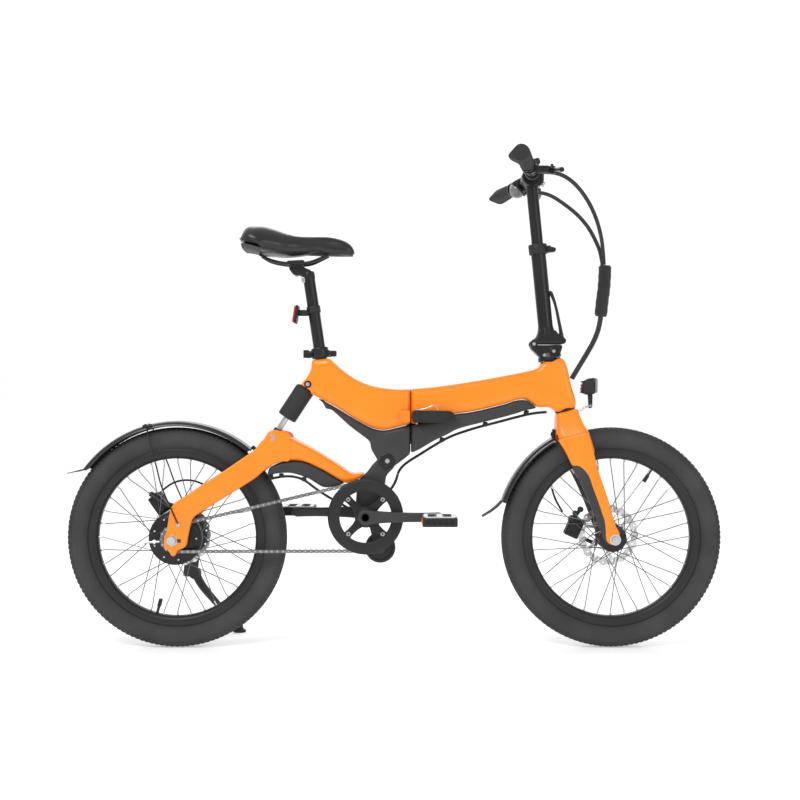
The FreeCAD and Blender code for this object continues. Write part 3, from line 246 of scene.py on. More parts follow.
def display_glass():
    return shade("display_glass", (0.01, 0.012, 0.014), rough=0.06, mottle=0.3, grain=200, bump=0.01, coat=0.6)


def smoked_plastic():
    return shade("smoked_polycarbonate", (0.16, 0.16, 0.165), rough=0.18, mottle=0.2, grain=300, bump=0.02, coat=0.5)


def spiral_wrap():
    return shade("spiral_wrap", (0.03, 0.03, 0.031), rough=0.55, mottle=0.25, grain=1500, bump=0.3)


def cable_jacket():
    return shade("cable_jacket", (0.014, 0.014, 0.014), rough=0.4, mottle=0.2, grain=1800, bump=0.08)


def neoprene():
    return shade("neoprene_sleeve", (0.018, 0.018, 0.019), rough=0.85, mottle=0.25, grain=2600, bump=0.5, sheen=0.25)


def clear_lens():
    return shade("clear_lens", (0.86, 0.88, 0.9), rough=0.07, mottle=0.04, grain=120, bump=0.15, transmission=0.85)


def vinyl():
    return shade("saddle_vinyl", (0.012, 0.012, 0.013), rough=0.3, mottle=0.22, grain=1500, bump=0.22, coat=0.15,
                 sheen=0.05)


# Mesh making

def mesh_of(bm, name, scale=MM):
    """A bmesh as a mesh in metres, with its faces turned outwards."""
    bmesh.ops.scale(bm, vec=(scale,) * 3, verts=bm.verts)
    bmesh.ops.recalc_face_normals(bm, faces=bm.faces)
    mesh = bpy.data.meshes.new(name)
    bm.to_mesh(mesh)
    bm.free()
    return mesh


def shade_smooth(mesh, angle=38):
    """Smooth shading, but for edges sharper than angle."""
    mesh.polygons.foreach_set("use_smooth", [True] * len(mesh.polygons))
    mesh.set_sharp_from_angle(angle=math.radians(angle))


def add(name, bm, material, body, *stands_for, scale=MM):
    """Makes one piece from a bmesh, in millimetres unless scale says otherwise, on a body, for CAD nodes."""
    mesh = mesh_of(bm, name, scale)
    mesh.materials.append(material)
    piece = bpy.data.objects.new(name, mesh)
    bpy.context.scene.collection.objects.link(piece)
    shade_smooth(mesh)
    if body:
        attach(piece, body)
    if stands_for:
        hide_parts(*stands_for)
    return piece


def curve_through(points, step):
    """A smooth line through points (Catmull-Rom), with a point about every step."""
    points = [Vector(p) for p in points]
    ends = [points[0] * 2 - points[1]] + points + [points[-1] * 2 - points[-2]]
    line = []
    for a, b, c, d in zip(ends, ends[1:], ends[2:], ends[3:]):
        count = max(1, round((c - b).length / step))
        for i in range(count):
            u = i / count
            line.append(0.5 * ((2 * b) + (c - a) * u + (2 * a - 5 * b + 4 * c - d) * u * u
                               + (3 * b - a - 3 * c + d) * u**3))
    return line + [points[-1]]


def outline(runs, step=3.0, soften=2):
    """The closed loop of an outline's runs, lines or smooth curves, with its corners eased by averaging."""
    loop = []
    for run in runs:
        loop += curve_through([(*p, 0) for p in run], step)[:-1]
    for _ in range(soften):
        loop = [(a + b * 2 + c) / 4 for a, b, c in zip(loop[-1:] + loop[:-1], loop, loop[1:] + loop[:1])]
    area = sum(a.x * b.y - b.x * a.y for a, b in zip(loop, loop[1:] + loop[:1]))
    return loop if area > 0 else loop[::-1]


def closed(*points):
    """The straight runs from each point to the next, round to the first."""
    return [(points[i - 1], points[i]) for i in range(len(points))]


def inwards(loop):
    """The unit inward direction at each point of an anticlockwise loop."""
    out = []
    for a, c in zip(loop[-1:] + loop[:-1], loop[1:] + loop[:1]):
        along = (c - a).normalized()
        out.append(Vector((-along.y, along.x, 0)))
    return out


def depths(points, loop):
    """How far each point is from the nearest side of a closed loop, and whether it lies inside the loop."""
    corners = np.array([(p.x, p.y) for p in loop])
    sides = np.roll(corners, -1, axis=0) - corners
    offset = points[:, None] - corners[None]
    along = np.clip((offset * sides).sum(2) / (sides**2).sum(1), 0, 1)
    away = np.sqrt(((offset - along[..., None] * sides)**2).sum(2)).min(1)
    x, z = points[:, 0, None], points[:, 1, None]
    above = corners[:, 1] > z
    next_above = np.roll(above, -1, axis=1)
    with np.errstate(divide="ignore", invalid="ignore"):
        crossing = corners[:, 0] + (z - corners[:, 1]) * sides[:, 0] / sides[:, 1]
    inside = ((above != next_above) & (x < crossing)).sum(1) % 2 == 1
    return away, inside


def rounded_plate(bm, loop, half, rounding, y=0.0, width=None, steps=5):
    """Adds a plate across the bicycle whose two faces curve over into its edge; width(x, z) scales it sideways."""
    edge = np.array([(p.x, p.y) for p in loop])
    inner = np.array([(n.x, n.y) for n in inwards(loop)])
    spots = [edge]
    for k in range(1, steps + 1):
        depth = rounding * (1 - math.cos(math.pi / 2 * k / steps))
        ring = edge + inner * depth
        away, inside = depths(ring, loop)
        spots.append(ring[inside & (away > depth * 0.96)])
    gap = max(6.0, rounding * 0.8)
    low, high = edge.min(0), edge.max(0)
    grid = np.array([(low[0] + gap * (i + 0.5 * (j % 2)), low[1] + gap * 0.87 * j)
                     for i in range(int((high[0] - low[0]) / gap) + 1)
                     for j in range(int((high[1] - low[1]) / (gap * 0.87)) + 1)])
    away, inside = depths(grid, loop)
    spots.append(grid[inside & (away > rounding + gap * 0.45)])
    flat = [Vector(p) for p in np.concatenate(spots)]
    places, _, faces, origins, _, _ = delaunay_2d_cdt(flat, [], [list(range(len(edge)))], 1, 0.02)
    away, _ = depths(np.array([(p.x, p.y) for p in places]), loop)
    rim_verts = {}
    for index, origin in enumerate(origins):
        for o in origin:
            if o < len(edge):
                rim_verts[o] = index
    sheets = []
    for side in (-1, 1):
        sheet = []
        for p, d in zip(places, away):
            drop = max(0.0, rounding - d)
            out = half - rounding + math.sqrt(max(0.0, rounding**2 - drop**2))
            sheet.append(bm.verts.new((p.x, y + side * out * (width(p.x, p.y) if width else 1.0), p.y)))
        for face in faces:
            bm.faces.new([sheet[i] for i in face])
        sheets.append(sheet)
    for i in range(len(edge)):
        a, b = rim_verts[i], rim_verts[(i + 1) % len(edge)]
        if a != b:
            bm.faces.new((sheets[0][a], sheets[0][b], sheets[1][b], sheets[1][a]))


def plate(bm, runs, half, rounding, y=0.0, width=None, step=3.0, soften=2):
    """Adds a plate whose outline is given by its runs."""
    rounded_plate(bm, outline(runs, step, soften), half, rounding, y, width)


def plate_piece(name, runs, half, rounding, material, body, *stands_for, width=None, step=3.0, soften=2):
    """One piece that is such a plate, on the bicycle's middle plane."""
    bm = bmesh.new()
    plate(bm, runs, half, rounding, 0.0, width, step, soften)
    return add(name, bm, material, body, *stands_for)


def skin(bm, rings, capped=True):
    """Joins each ring of points to the next, and closes both ends."""
    for low, high in zip(rings, rings[1:]):
        for k in range(len(low)):
            m = (k + 1) % len(low)
            bm.faces.new((low[k], low[m], high[m], high[k]))
    if capped:
        bm.faces.new(rings[0][::-1])
        bm.faces.new(rings[-1])


def band(bore, edge, radius, half, ease=1):
    """The profile of a ring about its middle, whose outer corners are eased."""
    return [(bore, -half), (edge, -half), (radius, ease - half), (radius, half - ease), (edge, half), (bore, half)]


def lathe(bm, profile, centre, axis=(0, 1, 0), segments=96, start=0.0, sweep=360.0):
    """Revolves a profile of (radius, distance along the axis) about an axis through centre."""
    axis = Vector(axis).normalized()
    side = Vector((0, 0, 1)) if abs(axis.z) < 0.9 else Vector((1, 0, 0))
    u = (side - axis * side.dot(axis)).normalized()
    w = axis.cross(u)
    full = sweep >= 360
    count = segments if full else segments + 1
    centre = Vector(centre)
    rings = []
    for i in range(count):
        a = math.radians(start + sweep * i / segments)
        out = u * math.cos(a) + w * math.sin(a)
        rings.append([bm.verts.new(centre + out * r + axis * d) for r, d in profile])
    skin(bm, rings + rings[:1] if full else rings, not full)


def rod(bm, a, b, radius, sides=10, end_radius=None):
    """A round rod between two points, closed at both ends."""
    a, b = Vector(a), Vector(b)
    end_radius = radius if end_radius is None else end_radius
    length = (b - a).length
    turn = Vector((0, 0, 1)).rotation_difference(b - a).to_matrix().to_4x4()
    made = bmesh.ops.create_cone(bm, cap_ends=True, segments=sides, radius1=radius, radius2=end_radius, depth=length)
    bmesh.ops.transform(bm, matrix=Matrix.Translation((a + b) / 2) @ turn, verts=made["verts"])
    return made["verts"]


def wire(bm, points, step, radius, sides):
    """A thin round wire along a smooth line through points."""
    line = curve_through(points, step)
    for a, b in zip(line, line[1:]):
        rod(bm, a, b, radius, sides)


def block(bm, low, high, ease=0.0, turn=0.0):
    """A box between two corners, turned about Y at its middle, with eased edges."""
    low, high = Vector(low), Vector(high)
    made = bmesh.ops.create_cube(bm, size=1)
    verts = made["verts"]
    bmesh.ops.scale(bm, vec=high - low, verts=verts)
    if ease:
        edges = list({e for v in verts for e in v.link_edges})
        bevelled = bmesh.ops.bevel(bm, geom=edges, offset=ease, segments=3, affect="EDGES", profile=0.5)
        linked = {v for f in bevelled["faces"] for v in f.verts}
        todo = list(linked)
        while todo:
            for edge in todo.pop().link_edges:
                for v in edge.verts:
                    if v not in linked:
                        linked.add(v)
                        todo.append(v)
        verts = list(linked)
    matrix = Matrix.Translation((low + high) / 2) @ Matrix.Rotation(math.radians(turn), 4, "Y")
    bmesh.ops.transform(bm, matrix=matrix, verts=verts)


def hex_head(bm, centre, radius, height, axis=(0, 1, 0)):
    """A hexagonal head or nut that stands on centre along axis."""
    centre, axis = Vector(centre), Vector(axis).normalized()
    rod(bm, centre, centre + axis * height * 0.8, radius, 6)
    rod(bm, centre + axis * height * 0.8, centre + axis * height, radius, 6, radius * 0.86)


def spline_line(points):
    """Points along a smooth line that control points in millimetres pull into shape, in metres."""
    data = bpy.data.curves.new("route", "CURVE")
    data.dimensions = "3D"
    line = data.splines.new("NURBS")
    line.points.add(len(points) - 1)
    for place, p in zip(line.points, points):
        place.co = (*[c * MM for c in p], 1)
    line.order_u = 3
    line.use_endpoint_u = True
    line.resolution_u = 12
    holder = bpy.data.objects.new("route", data)
    bpy.context.scene.collection.objects.link(holder)
    bpy.context.view_layer.update()
    mesh = bpy.data.meshes.new_from_object(holder)
    line_points = [v.co.copy() for v in mesh.vertices]
    bpy.data.objects.remove(holder)
    return line_points


def tube_mesh(bm, line, radius, sides, profile=None):
    """A tube along a line of points in metres; profile(i, count) scales its radius."""
    up = Vector((0, 1, 0))
    rings = []
    for i, p in enumerate(line):
        ahead = (line[min(i + 1, len(line) - 1)] - line[max(i - 1, 0)]).normalized()
        side = up.cross(ahead)
        side = side.normalized() if side.length > 1e-4 else Vector((1, 0, 0))
        over = ahead.cross(side).normalized()
        up = over if over.dot(up) > 0 else -over
        r = radius * (profile(i, len(line)) if profile else 1)
        rings.append([bm.verts.new(p + (side * math.cos(a) + over * math.sin(a)) * r)
                      for a in (2 * math.pi * k / sides for k in range(sides))])
    skin(bm, rings)


def carve(piece, cutter):
    """Cuts one mesh out of another, for good."""
    modifier = piece.modifiers.new("cut", "BOOLEAN")
    modifier.operation, modifier.object, modifier.solver = "DIFFERENCE", cutter, "EXACT"
    modifier.use_self = True
    bpy.context.view_layer.update()
    done = bpy.data.meshes.new_from_object(piece.evaluated_get(bpy.context.evaluated_depsgraph_get()))
    piece.modifiers.clear()
    piece.data = done
    shade_smooth(done)
    bpy.data.objects.remove(cutter)
    return piece


def cutter(bm):
    """A loose tool for carve, from a bmesh in millimetres."""
    tool = bpy.data.objects.new("tool", mesh_of(bm, "tool"))
    bpy.context.scene.collection.objects.link(tool)
    return tool


def across(bm, x, z, radius, low, high, sides=32):
    """A round rod across the bicycle."""
    rod(bm, (x, low, z), (x, high, z), radius, sides)


def ring_of(centre, radius, count, first=0.0):
    """The x and z of places that stand evenly about an axis across the bicycle."""
    for i in range(count):
        a = math.radians(first + 360 * i / count)
        yield centre[0] + radius * math.cos(a), centre[2] + radius * math.sin(a)


def wheel_room(piece, axle, radius, half):
    """Clears a round room for a wheel out of a piece."""
    bm = bmesh.new()
    across(bm, axle[0], axle[2], radius, -half, half, 96)
    carve(piece, cutter(bm))


# Frame

def rear_frame():
    """The painted half under the saddle, the dark casting that hangs below it, and the seat tube's socket."""
    top = [(-148, 665), (-136, 653), (-122, 641), (-100, 624), (-80, 613), (-61, 605), (-39, 599), (-20, 596),
           (0, 594), (20, 593.5), (37.4, 595)]
    below = [(37.4, 514), (20, 510), (0, 505), (-20, 500.5), (-39, 502), (-61, 510), (-100, 532), (-141, 557),
             (-187, 581)]
    tail = [(-187, 581), (-192, 582), (-203, 590), (-214, 604), (-200, 622), (-191, 640), (-190, 661)]
    painted = [top, [(37.4, 595), (37.4, 514)], below, tail, [(-190, 661), (-148, 665)]]

    def girth(x, z):
        return 0.62 + 0.38 * min(1, max(0, (x + 190) / 120))

    shell = plate_piece("rear_frame_shell", painted, 35, 15, orange_paint(), "rear_frame", "rear_frame_half",
                        width=girth, step=4, soften=3)
    bm = bmesh.new()
    down = (EYE_LOW - EYE_TOP).normalized()
    block(bm, (-236, -12.8, 574), (-182, 12.8, 628), 2)
    rod(bm, EYE_TOP / MM + down * 9, EYE_TOP / MM + down * 150, 24.4, 48)
    carve(shell, cutter(bm))
    bm = bmesh.new()
    lathe(bm, [(13.8, -14), (18.2, -14), (21.0, -6), (20.4, 0.5), (13.8, 1.5)], (-166.5, 0, 655), SEAT_AXIS, 72)
    add("seat_tube_rim", bm, orange_paint(), "rear_frame")

    edge = [(-186, 577), (-163, 562), (-158, 549), (-150, 548), (-143, 546), (-120, 526), (-100, 508), (-60, 478),
            (-54, 470), (-54, 460), (-48, 448), (-40, 435)]
    boss = [(-40, 435), (-36, 426), (-27, 415), (-15.5, 411.5), (-4, 415), (3, 419)]
    front = [(3, 419), (15, 428), (28, 438), (37.2, 446)]
    inner = [(37.2, 512), (20, 508), (0, 503), (-20, 498.5), (-39, 500), (-61, 508), (-100, 530), (-141, 555),
             (-184, 579)]
    casting = [edge, boss, front, [(37.2, 446), (37.2, 512)], inner, [(-184, 579), (-186, 577)]]

    def slim(x, z):
        return 0.74 + 0.26 * min(1, max(0, (x + 190) / 150))

    body = plate_piece("rear_frame_lower_casting", casting, 30, 9, dark_casting(), "rear_frame",
                       "rear_frame_casting", width=slim, step=4, soften=2)
    # The casting is open between its two walls, around the shock and the pivot arm.
    bm = bmesh.new()
    block(bm, (-240, -19, 380), (-62, 19, 700), 5)
    block(bm, (-70, -21.5, 380), (30, 21.5, 453), 6)
    carve(body, cutter(bm))
    bm = bmesh.new()
    for side in (-1, 1):
        face = side * 30
        hex_head(bm, (-15.5, face - side, 429.6), 4.5, 3.4, (0, side, 0))
        lathe(bm, [(0.1, -1), (4.8, -1), (5.2, 2.2), (4.4, 3.6), (0.1, 3.6)], (-198, side * 22.4, 605),
              (0, side, 0), 32)
    rod(bm, (-198, -24, 605), (-198, 24, 605), 3.6, 24)
    rod(bm, (-15.5, -31, 429.6), (-15.5, 31, 429.6), 6, 24)
    add("frame_bolts", bm, steel(), "rear_frame", "frame_pins")
    bm = bmesh.new()
    for side in (-1, 1):
        lathe(bm, [(5.2, 0), (17.5, 0), (17.5, 1.6), (16, 2.6), (12.6, 2.8), (12.2, 4.2), (10.6, 4.8), (6, 4.8),
                   (5.2, 1.6)], (-15.5, side * 29.4, 429.6), (0, side, 0), 64)
        lathe(bm, [(5.1, -1), (8, -1), (8.4, 1.4), (7.6, 2.4), (5.1, 2.4)], (-198, side * 22.4, 605),
              (0, side, 0), 40)
    add("pivot_caps", bm, black_anodised(), "rear_frame")


def front_frame():
    """The painted beam from the hinge to the head tube, over a dark cover that closes it from below."""
    top = [(38.6, 595), (60, 596), (100, 600), (150, 607), (200, 615), (250, 624), (300, 634), (330, 642),
           (341, 656)]
    head = [(341, 656), (384, 667), (394, 655), (401, 629), (406, 604), (412, 585), (417, 568), (416.5, 551)]
    crown = [(416.5, 551), (373, 540)]
    belly = [(373, 540), (367, 547), (359, 552), (349, 553), (330, 552), (321, 559), (310, 567), (300, 571),
             (279, 569), (260, 562), (220, 552), (180, 543), (139, 537), (88, 523), (60, 517), (38.6, 514)]
    beam = [top, head[:2], head[1:], crown, belly, [(38.6, 514), (38.6, 595)]]

    def girth(x, z):
        along = max(0, min(1, (x - 40) / 330))
        return 1 - 0.22 * along

    plate_piece("front_frame_shell", beam, 35, 15, orange_paint(), "front_frame", "front_frame_half", width=girth,
                step=4, soften=3)
    upper = [(38.8, 512), (60, 515), (88, 521), (139, 535.5), (180, 541), (220, 550), (260, 560), (279, 567),
             (300, 569.5), (309, 566), (320, 557), (328, 550.5)]
    lower = [(328, 550.5), (316, 548), (300, 545), (280, 538), (240, 527), (200, 517), (160, 507), (140, 500),
             (120, 489), (100, 480), (80, 469), (60, 457), (38.8, 447)]
    plate_piece("beam_cover", [upper, lower, [(38.8, 447), (38.8, 512)]], 29, 9, dark_casting(), "front_frame",
                "underside_cover", width=girth, step=4, soften=2)
    bm = bmesh.new()
    for start, end in ((-1.2, 8), (112, 122)):
        lathe(bm, [(15.5, start), (23, start), (24, start + 1.5), (24, end - 1.5), (23, end), (15.5, end)],
              HEAD_FOOT, HEAD_AXIS, 64)
    add("headset_cups", bm, black_anodised(), "front_frame", "headset_bearings")


def latch():
    """The clamp on the right of the fold: a block on the rear half, and a long lever with its spring on the front."""
    bm = bmesh.new()
    block(bm, (13, -46, 518), (37, -34, 545), 3)
    for z in (524, 531.5, 539):
        block(bm, (14, -47.6, z - 1.6), (36, -45, z + 1.6), 1)
    add("latch_block", bm, orange_paint(), "rear_frame")
    bm = bmesh.new()
    plate(bm, [[(41, 519), (41, 544)], [(41, 544), (80, 545), (124, 544)],
               [(124, 544), (134, 541), (138.5, 531), (134, 521), (124, 518)],
               [(124, 518), (80, 517), (41, 519)]], 5, 3, -44)
    plate(bm, [[(52, 523), (118, 522)], [(118, 522), (128, 526), (130, 531), (128, 536), (118, 540)],
               [(118, 540), (52, 539)], [(52, 539), (52, 523)]], 1.6, 1.2, -49)
    lathe(bm, [(2.6, -14), (7, -14), (7.6, -13), (7.6, 13), (7, 14), (2.6, 14)], (52, -44, 531), (0, 0, 1), 32)
    add("latch_lever", bm, black_plastic(), "frame_latch", "frame_latch_lever")
    bm = bmesh.new()
    wire(bm, [(46, -47, 546), (64, -47, 548.5), (80, -47, 553), (90, -46, 556.5), (97, -45, 553), (100, -44, 546)],
         3, 1.1, 8)
    rod(bm, (52, -44, 514), (52, -44, 548), 2.5, 16)
    add("latch_spring", bm, steel(), "frame_latch")


def hinge_knuckles():
    """The fold's pin on the left, with the halves' knuckles round it by turns."""
    x, y = 38, 45
    for body, spans, side in (("rear_frame", ((470, 498), (562, 590)), -1), ("front_frame", ((499, 561),), 1)):
        bm = bmesh.new()
        for low, high in spans:
            lathe(bm, [(5.1, low), (9, low), (9.6, low + 1), (9.6, high - 1), (9, high), (5.1, high)],
                  (x, y, 0), (0, 0, 1), 40)
            near, far = sorted((side * 5, side * 30))
            block(bm, (x + near, 30, low + 2), (x + far, y - 1, high - 2), 2)
        add(body + "_hinge_knuckle", bm, dark_casting(), body)
    bm = bmesh.new()
    rod(bm, (x, y, 466), (x, y, 594), 4.8, 24)
    add("fold_pin", bm, steel(), "rear_frame")


# Wheels

def tyre(name, axle, body):
    """Casing with moulded rings down its side, and rows of tread blocks that meet the ground."""
    middle, section = 226, 25.75
    profile = []
    for i in range(61):
        a = math.radians(-146 + 292 * i / 60)
        side = abs(math.degrees(a))
        r = section
        for ring_at, lift in ((62, 0.7), (67, 0.7), (104, 0.9), (109, 0.9), (119, 1.2)):
            r += lift * max(0, 1 - abs(side - ring_at) / 2.2)
        profile.append((middle + r * math.cos(a), r * math.sin(a)))
    inside = [(middle + (section - 3) * math.cos(math.radians(140 - 280 * i / 30)),
               (section - 3) * math.sin(math.radians(140 - 280 * i / 30))) for i in range(31)]
    bm = bmesh.new()
    lathe(bm, profile + inside, axle, (0, 1, 0), 180)
    corners = ((-1, -1), (1, -1), (1, 1), (-1, 1))
    for row, (angle, count, length, width) in enumerate(((0, 132, 8.2, 5), (12, 132, 8, 4.6), (-12, 132, 8, 4.6),
                                                         (25, 132, 7.6, 4.8), (-25, 132, 7.6, 4.8),
                                                         (38, 144, 6.6, 4.6), (-38, 144, 6.6, 4.6),
                                                         (51, 144, 5.4, 4.4), (-51, 144, 5.4, 4.4))):
        tilt = math.radians(angle)
        for i in range(count):
            turn = 2 * math.pi * (i + 0.5 * (row % 2)) / count
            base = Matrix.Translation(Vector(axle)) @ Matrix.Rotation(turn, 4, "Y") \
                @ Matrix.Translation((0, section * math.sin(tilt), middle + section * math.cos(tilt))) \
                @ Matrix.Rotation(-tilt, 4, "X") @ Matrix.Rotation(math.radians(18 if angle > 0 else -18), 4, "Z")
            low, high = ([base @ Vector((x * length * part, y * width * part, lift)) for x, y in corners]
                         for part, lift in ((0.5, -1.2), (0.43, 1.15)))
            skin(bm, [[bm.verts.new(p) for p in ends] for ends in (low, high)])
    add(name + "_casing", bm, tyre_rubber(), body, name)


def rim(name, axle, body, valve_angle):
    """Box-section rim, a nipple for every spoke and the tube's valve."""
    bm = bmesh.new()
    lathe(bm, [(203, -15), (204.6, -14), (204.6, -12.8), (203, -12.4), (197, -12.6), (193, -8), (193, 8),
               (197, 12.6), (203, 12.4), (204.6, 12.8), (204.6, 14), (203, 15), (198, 15.4), (190, 15.4),
               (186, 13.5), (182.2, 9), (181, 5), (181, -5), (182.2, -9), (186, -13.5), (190, -15.4), (198, -15.4)],
          axle, (0, 1, 0), 180)
    add(name + "_hoop", bm, rim_enamel(), body, name)
    bm = bmesh.new()
    x, z = axle[0], axle[2]
    for side in (-1, 1):
        for index in range(18):
            a = math.radians((index + (0.5 if side > 0 else 0)) * 20)
            out = Vector((math.cos(a), 0, math.sin(a)))
            root = Vector((x, side * 3, z))
            rod(bm, root + out * 170, root + out * 183, 1.7, 10)
            rod(bm, root + out * 179.5, root + out * 182, 2.6, 12)
    add(name + "_nipples", bm, steel(), body)
    a = math.radians(valve_angle)
    out = Vector((math.cos(a), 0, math.sin(a)))
    bm = bmesh.new()
    middle = Vector((x, 0, z))
    rod(bm, middle + out * 182, middle + out * 152, 3.3, 20)
    rod(bm, middle + out * 166, middle + out * 148, 4.6, 20, 4.0)
    for k in range(6):
        rod(bm, middle + out * (150 + 2.4 * k), middle + out * (151 + 2.4 * k), 4.9, 20)
    add(name + "_valve", bm, rubber(), body)


def spokes(name, axle, flange, half, lead, body):
    """36 crossed spokes on the CAD spokes' lines, each with its elbow at the flange."""
    bm = bmesh.new()
    for side in (-1, 1):
        for index in range(18):
            rim_angle = math.radians((index + (0.5 if side > 0 else 0)) * 20)
            way = 1 if index % 2 else -1
            hub_angle = rim_angle + way * math.radians(lead)
            start = Vector((axle[0] + (flange - 2) * math.cos(hub_angle), side * (half + way * 2.2),
                            axle[2] + (flange - 2) * math.sin(hub_angle)))
            end = Vector((axle[0] + 172 * math.cos(rim_angle), side * 3, axle[2] + 172 * math.sin(rim_angle)))
            rod(bm, start, end, 1.05, 8)
            rod(bm, start - Vector((0, way * side * 0.4, 0)), start - Vector((0, way * side * 3.2, 0)), 1.3, 8)
    add(name + "_wires", bm, spoke_wire(), body, name)


def rotor(name, axle, body):
    """A wavy brake disc with drilled band and swept arms, on its boss with six bolts."""
    bm = bmesh.new()
    count, thick, waves, y = 180, 1.8, 18, DISC_Y
    rings = []
    for radius, wave, side in ((70, 1.6, -1), (70, 1.6, 1), (54, -0.8, 1), (54, -0.8, -1)):
        rings.append([])
        for i in range(count):
            a = 2 * math.pi * i / count
            r = radius + wave * math.cos(waves * a)
            rings[-1].append(bm.verts.new((axle[0] + r * math.cos(a), y + side * thick / 2,
                                           axle[2] + r * math.sin(a))))
    skin(bm, rings + rings[:1], False)
    for i in range(6):
        start, end = math.radians(60 * i), math.radians(60 * i + 38)
        a = Vector((axle[0] + 20 * math.cos(start), y, axle[2] + 20 * math.sin(start)))
        b = Vector((axle[0] + 55 * math.cos(end), y, axle[2] + 55 * math.sin(end)))
        verts = rod(bm, a, b, 4.0, 10)
        bmesh.ops.scale(bm, vec=(1, 0.22, 1), space=Matrix.Translation((0, -y, 0)), verts=verts)
    lathe(bm, [(15, -0.9), (26, -0.9), (26, 0.9), (15, 0.9)], (axle[0], y, axle[2]), (0, 1, 0), 60)
    piece = add(name + "_disc", bm, disc_steel(), body, name)
    bm = bmesh.new()
    for i in range(36):
        a, r = math.radians(10 * i), 59 + 4.5 * (i % 3 - 1) + 2
        across(bm, axle[0] + r * math.cos(a), axle[2] + r * math.sin(a), 1.9, y - 3, y + 3, 10)
    carve(piece, cutter(bm))
    bm = bmesh.new()
    for x, z in ring_of(axle, 22, 6, 30):
        across(bm, x, z, 2.6, y + 0.8, y + 3, 12)
    add(name + "_bolts", bm, dark_steel(), body)


def hubs():
    """The front hub's flanged shell, and the rear motor's casing with its screws."""
    bm = bmesh.new()
    lathe(bm, [(5.1, -46.5), (11, -46.5), (13, -45), (13, -36), (16, -34), (29, -33), (31.5, -31.5), (31.5, -26.5),
               (29, -25), (19, -22), (16.5, -14), (16, 0), (16.5, 14), (19, 22), (29, 25), (31.5, 26.5), (31.5, 31.5),
               (29, 33), (20.5, 34), (20.5, 39), (15, 39.2), (15, 46.5), (5.1, 46.5)], FRONT_HUB, (0, 1, 0), 72)
    add("front_hub_shell", bm, black_anodised(), "front_wheel", "front_hub")
    bm = bmesh.new()
    lathe(bm, [(6.2, -38), (15, -38), (17, -36.4), (34, -36), (46, -35), (53, -32.5), (56, -30.5), (60.5, -30.5),
               (61, -30), (61, -24.5), (60.5, -24), (57.5, -23.5), (57.5, -12), (56.8, -11.5), (56.8, 11.5), (57.5, 12),
               (57.5, 23.5), (60.5, 24), (61, 24.5), (61, 30), (60.5, 30.5), (56, 30.5), (52, 33), (40, 35),
               (24, 36.5), (22, 39), (15, 39.3), (15, 51.5), (6.2, 51.5)], REAR_HUB, (0, 1, 0), 96)
    add("hub_motor_shell", bm, black_anodised(), "rear_wheel", "hub_motor")
    bm = bmesh.new()
    for x, z in ring_of(REAR_HUB, 49, 9):
        across(bm, x, z, 2.2, -36.6, -33, 6)
    add("hub_motor_screws", bm, steel(), "rear_wheel")


def wheels():
    """Both wheels: tyre, rim, spokes and disc, then the hubs."""
    for name, axle, body, flange, half, lead, valve in (
            ("front", FRONT_HUB, "front_wheel", 31, 29, 62, 59),
            ("rear", REAR_HUB, "rear_wheel", 61, 27.5, 28, 255)):
        tyre(name + "_tyre", axle, body)
        rim(name + "_rim", axle, body, valve)
        spokes(name + "_spokes", axle, flange, half, lead, body)
        rotor(name + "_rotor", axle, body)
    hubs()


def smooth(u):
    """Goes from 0 to 1 as u does, with no kink at either end."""
    u = max(0, min(1, u))
    return u * u * (3 - 2 * u)


def blade(name, runs, half, rounding, material, body, side, centre, *stands_for, drawn_in=1.0):
    """A plate on one side of a wheel, whose middle lies centre(x) out from the bicycle's middle plane.

    Its outline is given as it looks on the middle plane from the camera, and drawn_in says how far it follows that.
    """
    bm = bmesh.new()
    plate(bm, runs, half, rounding, step=4)
    for v in bm.verts:
        out = centre(v.co.x)
        part = 1 - drawn_in * (out + half) / EYE_FROM
        v.co.x = EYE_X + (v.co.x - EYE_X) * part
        v.co.z = EYE_Z + (v.co.z - EYE_Z) * part
        v.co.y += side * out
    return add(name, bm, material, body, *stands_for)


